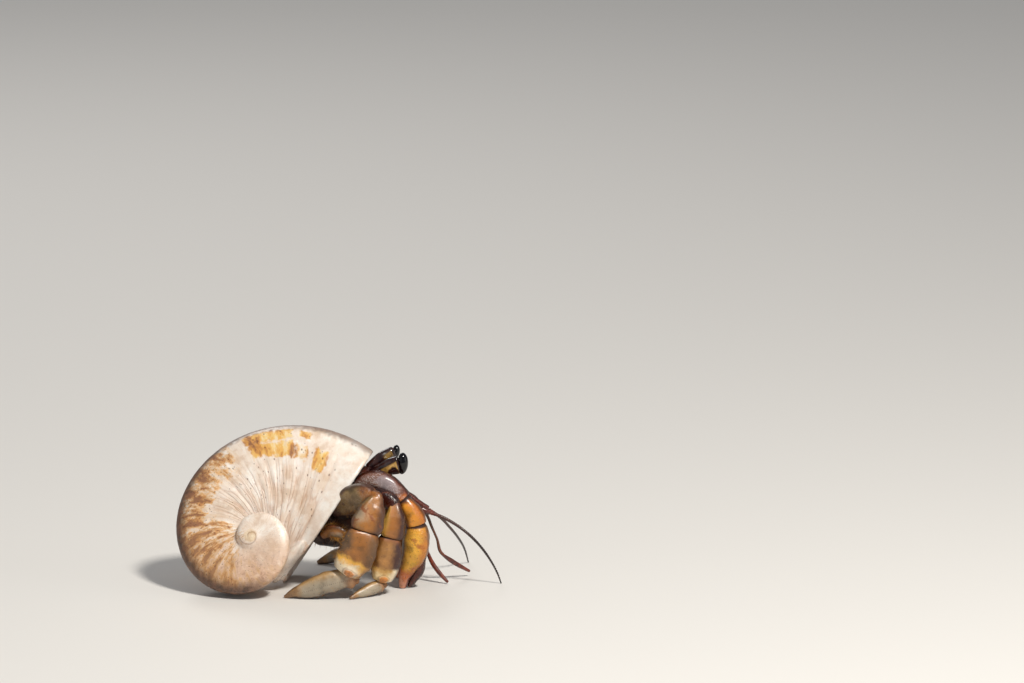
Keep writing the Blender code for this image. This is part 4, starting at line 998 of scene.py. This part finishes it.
LASH = dict(swell=rings_along, pitch=0.05)
for title, coat, shape in (
    ("antenna_right_base", knob_coat, dict(stations=[
        (13.9, -3.3, 12.8, 0.36, 0.34), (15.4, -3.4, 11.95, 0.42, 0.38), (17.3, -3.4, 10.75, 0.34, 0.32),
        (18.75, -3.35, 10.35, 0.5, 0.46), (19.4, -3.25, 10.15, 0.36, 0.34)], lift=0.01, crown=0.3)),
    ("antenna_right_lash", lash_coat, dict(stations=[
        (19.55, -3.2, 10.05, 0.24, 0.24), (20.8, -3.1, 9.6, 0.23, 0.23), (22.0, -3.0, 9.0, 0.22, 0.22),
        (24.2, -2.9, 7.5, 0.2, 0.2), (26.0, -2.8, 5.75, 0.18, 0.18), (27.7, -2.6, 3.4, 0.15, 0.15),
        (28.7, -2.3, 1.4, 0.12, 0.12), (29.15, -2.1, 0.12, 0.09, 0.09)], **LASH)),
    ("antenna_left_base", knob_coat, dict(stations=[
        (13.9, -0.75, 13.2, 0.45, 0.4), (15.4, -0.6, 12.5, 0.65, 0.5), (17.4, -0.4, 11.1, 0.55, 0.46),
        (19.2, -0.15, 9.9, 0.42, 0.4)], lift=0.01)),
    ("antenna_left_lash", lash_coat, dict(stations=[
        (19.5, -0.05, 9.7, 0.24, 0.24), (20.9, 0.9, 8.5, 0.2, 0.2), (22.2, 2.7, 6.7, 0.18, 0.18),
        (23.4, 5.1, 4.6, 0.16, 0.16), (24.2, 7.8, 2.5, 0.13, 0.13), (24.7, 10.3, 0.12, 0.09, 0.09)],
        **LASH)),
    ("antennule_right_base", stem_coat, dict(stations=[
        (14.0, -2.45, 13.2, 0.28, 0.26), (16.6, -2.45, 11.6, 0.27, 0.24), (18.5, -2.5, 10.45, 0.24, 0.22),
        (19.25, -2.35, 9.4, 0.2, 0.19), (19.85, -2.05, 7.8, 0.18, 0.18), (20.55, -1.5, 6.0, 0.17, 0.17),
        (21.1, -1.0, 4.0, 0.22, 0.21), (21.35, -0.85, 3.7, 0.2, 0.2)], side=(0.3, 1, 0))),
    ("antennule_right_end", red_end_coat, dict(stations=[
        (21.4, -0.78, 3.6, 0.2, 0.2), (22.2, -0.1, 2.85, 0.31, 0.28), (23.6, 1.05, 1.7, 0.29, 0.27),
        (24.8, 2.0, 0.8, 0.2, 0.2)], crown=0.2)),
    ("antennule_left_base", stem_coat, dict(stations=[
        (14.0, -1.55, 14.1, 0.35, 0.3), (16.3, -1.5, 12.4, 0.33, 0.28), (17.8, -1.4, 10.0, 0.3, 0.26),
        (18.5, -1.3, 7.4, 0.19, 0.18), (19.0, -1.25, 4.9, 0.19, 0.18), (19.15, -1.27, 4.4, 0.19, 0.19)],
        side=(0.3, 1, 0))),
    ("antennule_left_end", red_end_coat, dict(stations=[
        (19.2, -1.3, 4.3, 0.19, 0.19), (19.8, -1.5, 2.9, 0.29, 0.27), (20.8, -1.95, 1.5, 0.29, 0.27),
        (21.9, -2.4, 0.36, 0.2, 0.2)], crown=0.2)),
):
    feeler = dict(around=20, square=2, neck=0.15, lift=0, tuck=0, pitch=0.14)
    clothe(((title, "red_feeler", coat, {**feeler, **shape}),))

# ---------------------------------------------------------------------------------------------------
# Bristles: short stiff golden hairs on the rear edges of the legs, thick about the fourth legs and
# the legs' roots, sparse on the claws, each a thin three-sided thorn that leans toward the limb's tip.
ROOT_WIDE, TIP_WIDE, SUNK, DROOP, STRAY = 0.022, 0.004, 0.05, -0.15, 0.3
FLOOR_CLEAR, PATCH = 0.00004, 0.0015
ALL_ROUND, REAR_EDGE, FRONT_EDGE, BELOW = (0, 359), (140, 220), (-40, 40), (150, 330)
hair_coat, surface, place = new_coat("golden bristle")
feed(surface, {"Base Color": ramp(grain(place, 900, 2, 0.5), (0.35, (120, 70, 30)), (0.65, (208, 150, 70))),
               "Roughness": 0.4})
dice = random.Random(11)


def bristles(title, tufts):
    """Hairs on limb skins: (piece, count, length, (u from, to), (bearing from, to), lean) for each."""
    bm = bmesh.new()
    chart = bm.loops.layers.uv.new("OFBake")
    for row, (name, count, length, (low, high), (left, right), lean) in enumerate(tufts):
        host = bpy.data.objects[name + "_skin"].data
        seat = np.empty(len(host.vertices) * 3)
        host.attributes["limb"].data.foreach_get("vector", seat)
        seat = seat.reshape(-1, 3)
        along = seat[:, 0]
        angle = np.degrees(np.arctan2(seat[:, 2], seat[:, 1])) % 360
        here = (along > low) & (along < high) & ((angle - left) % 360 < (right - left))
        here = np.nonzero(here)[0]
        near_end, far_end = (host.vertices[int(np.argmin(np.abs(along - u)))].co for u in (0.1, 0.9))
        run = (far_end - near_end).normalized()
        for _ in range(count):
            k = int(here[dice.randrange(len(here))])
            v = host.vertices[k]
            stray = Vector([dice.uniform(-STRAY, STRAY) for _ in range(3)])
            way = (v.normal + run * lean + stray + Vector((0, 0, DROOP))).normalized()
            long = length * dice.uniform(0.5, 1.15) * MM
            root = v.co - way * SUNK * MM
            if (root + way * long).z < FLOOR_CLEAR:
                continue
            turned = way.to_track_quat("Z", "X").to_matrix().to_4x4()
            made = bmesh.ops.create_cone(
                bm, segments=3, radius1=ROOT_WIDE * MM, radius2=TIP_WIDE * MM, depth=long,
                cap_ends=True, matrix=Matrix.Translation(root + way * long / 2) @ turned)
            spot_u = 0.02 + 0.96 * along[k]
            spot_v = (row + 0.05 + 0.9 * angle[k] / 360) / len(tufts)
            for face in {f for vert in made["verts"] for f in vert.link_faces}:
                for j, loop in enumerate(face.loops):
                    loop[chart].uv = (spot_u + PATCH * math.cos(j * 2), spot_v + PATCH * math.sin(j * 2))
    piece = piece_of(title, bm, hair_coat, smooth_faces=False)
    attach(piece, "root")


for word in ("right", "left"):
    bristles(f"leg_bristles_{word}", (
        (f"leg3_{word}_propodus", 90, 0.5, (0.1, 0.9), (140, 230), 0.6),
        (f"leg3_{word}_propodus", 50, 0.22, (0.3, 0.98), (230, 320), 1.6),
        (f"leg3_{word}_propodus", 30, 0.25, (0.1, 0.95), FRONT_EDGE, 1.2),
        (f"leg3_{word}_carpus", 40, 0.3, (0.3, 0.97), REAR_EDGE, 0.8),
        (f"leg3_{word}_carpus", 20, 0.22, (0.3, 0.97), FRONT_EDGE, 1.2),
        (f"leg3_{word}_merus", 90, 0.6, (0.2, 0.9), (150, 260), 0.4),
        (f"leg3_{word}_dactylus", 70, 0.28, (0.05, 0.9), ALL_ROUND, 1.4),
        (f"leg2_{word}_propodus", 50, 0.3, (0.1, 0.95), REAR_EDGE, 1.2),
        (f"leg2_{word}_propodus", 30, 0.24, (0.1, 0.95), FRONT_EDGE, 1.2),
        (f"leg2_{word}_carpus", 20, 0.22, (0.2, 0.95), (-50, 50), 1.2),
        (f"leg2_{word}_dactylus", 50, 0.25, (0.05, 0.9), ALL_ROUND, 1.4),
        (f"claw_{word}_palm", 80, 0.2, (0.1, 0.98), ALL_ROUND, 1.4),
        (f"claw_{word}_dactyl", 40, 0.22, (0.05, 0.95), ALL_ROUND, 1.2),
        (f"claw_{word}_carpus", 25, 0.2, (0.2, 0.95), ALL_ROUND, 1.2),
    ))
bristles("root_bristles", (
    ("leg4_right", 300, 0.9, (0.15, 1.0), ALL_ROUND, 0.5),
    ("leg4_left", 160, 0.8, (0.15, 1.0), ALL_ROUND, 0.5),
    ("trunk", 260, 0.9, (0.1, 0.8), BELOW, 0.2),
    ("leg3_right_ischium", 90, 0.8, (0.1, 0.9), BELOW, 0.3),
    ("maxilliped_right", 120, 0.8, (0.3, 1.0), ALL_ROUND, 0.6),
    ("maxilliped_left", 90, 0.8, (0.3, 1.0), ALL_ROUND, 0.6),
))

# ---------------------------------------------------------------------------------------------------
# The setting: a plain pale table that the crab walks on, four soft lamps about it, and a long lens
# a little above the crab's level.
TABLE_HALF, TABLE_TONE, AIR_TONE, AIR_STRENGTH = 3, (0.74, 0.72, 0.69, 1), (0.92, 0.95, 1.0, 1), 0.24
LENS, SENSOR, EYE_FAR, AIM = 391, 36, 1.5, Vector((30.64, 6.68, 31.45))
table_coat, surface, _ = new_coat("pale table")
surface.inputs["Base Color"].default_value = TABLE_TONE
surface.inputs["Roughness"].default_value = 0.75
bm = bmesh.new()
bmesh.ops.create_grid(bm, x_segments=1, y_segments=1, size=TABLE_HALF)
table = piece_of("table", bm, table_coat, smooth_faces=False)

world = bpy.data.worlds.new("studio air")
world.use_nodes = True
air = world.node_tree.nodes["Background"]
air.inputs["Color"].default_value = AIR_TONE
air.inputs["Strength"].default_value = AIR_STRENGTH
bpy.context.scene.world = world
middle = Vector((7, -2, 8)) * MM
for title, spot, size, power, tone in (
    ("key", (0.17, -0.22, 0.36), 0.06, 1.9, (1.0, 0.96, 0.89)),
    ("fill", (-0.34, -0.3, 0.16), 0.3, 0.1, (0.92, 0.96, 1.0)),
    ("rim", (-0.1, 0.34, 0.3), 0.14, 0.4, (1.0, 0.98, 0.95)),
    ("front", (0.4, -0.12, 0.12), 0.2, 0.14, (1.0, 0.98, 0.95)),
):
    lamp = bpy.data.lights.new(title, "AREA")
    lamp.size = size
    lamp.energy = power
    lamp.color = tone
    holder = bpy.data.objects.new(title, lamp)
    holder.location = spot
    holder.rotation_euler = (middle - Vector(spot)).to_track_quat("-Z", "Y").to_euler()
    bpy.context.scene.collection.objects.link(holder)

lens = bpy.data.cameras.new("long lens")
lens.lens = LENS
lens.sensor_width = SENSOR
lens.clip_start, lens.clip_end = 0.05, 20
eye = bpy.data.objects.new("long lens", lens)
sight = Vector((0, math.cos(SIGHT), -math.sin(SIGHT)))
eye.location = AIM * MM - sight * EYE_FAR
eye.rotation_euler = sight.to_track_quat("-Z", "Y").to_euler()
bpy.context.scene.collection.objects.link(eye)
bpy.context.scene.camera = eye
bpy.context.scene.view_settings.view_transform = "Standard"
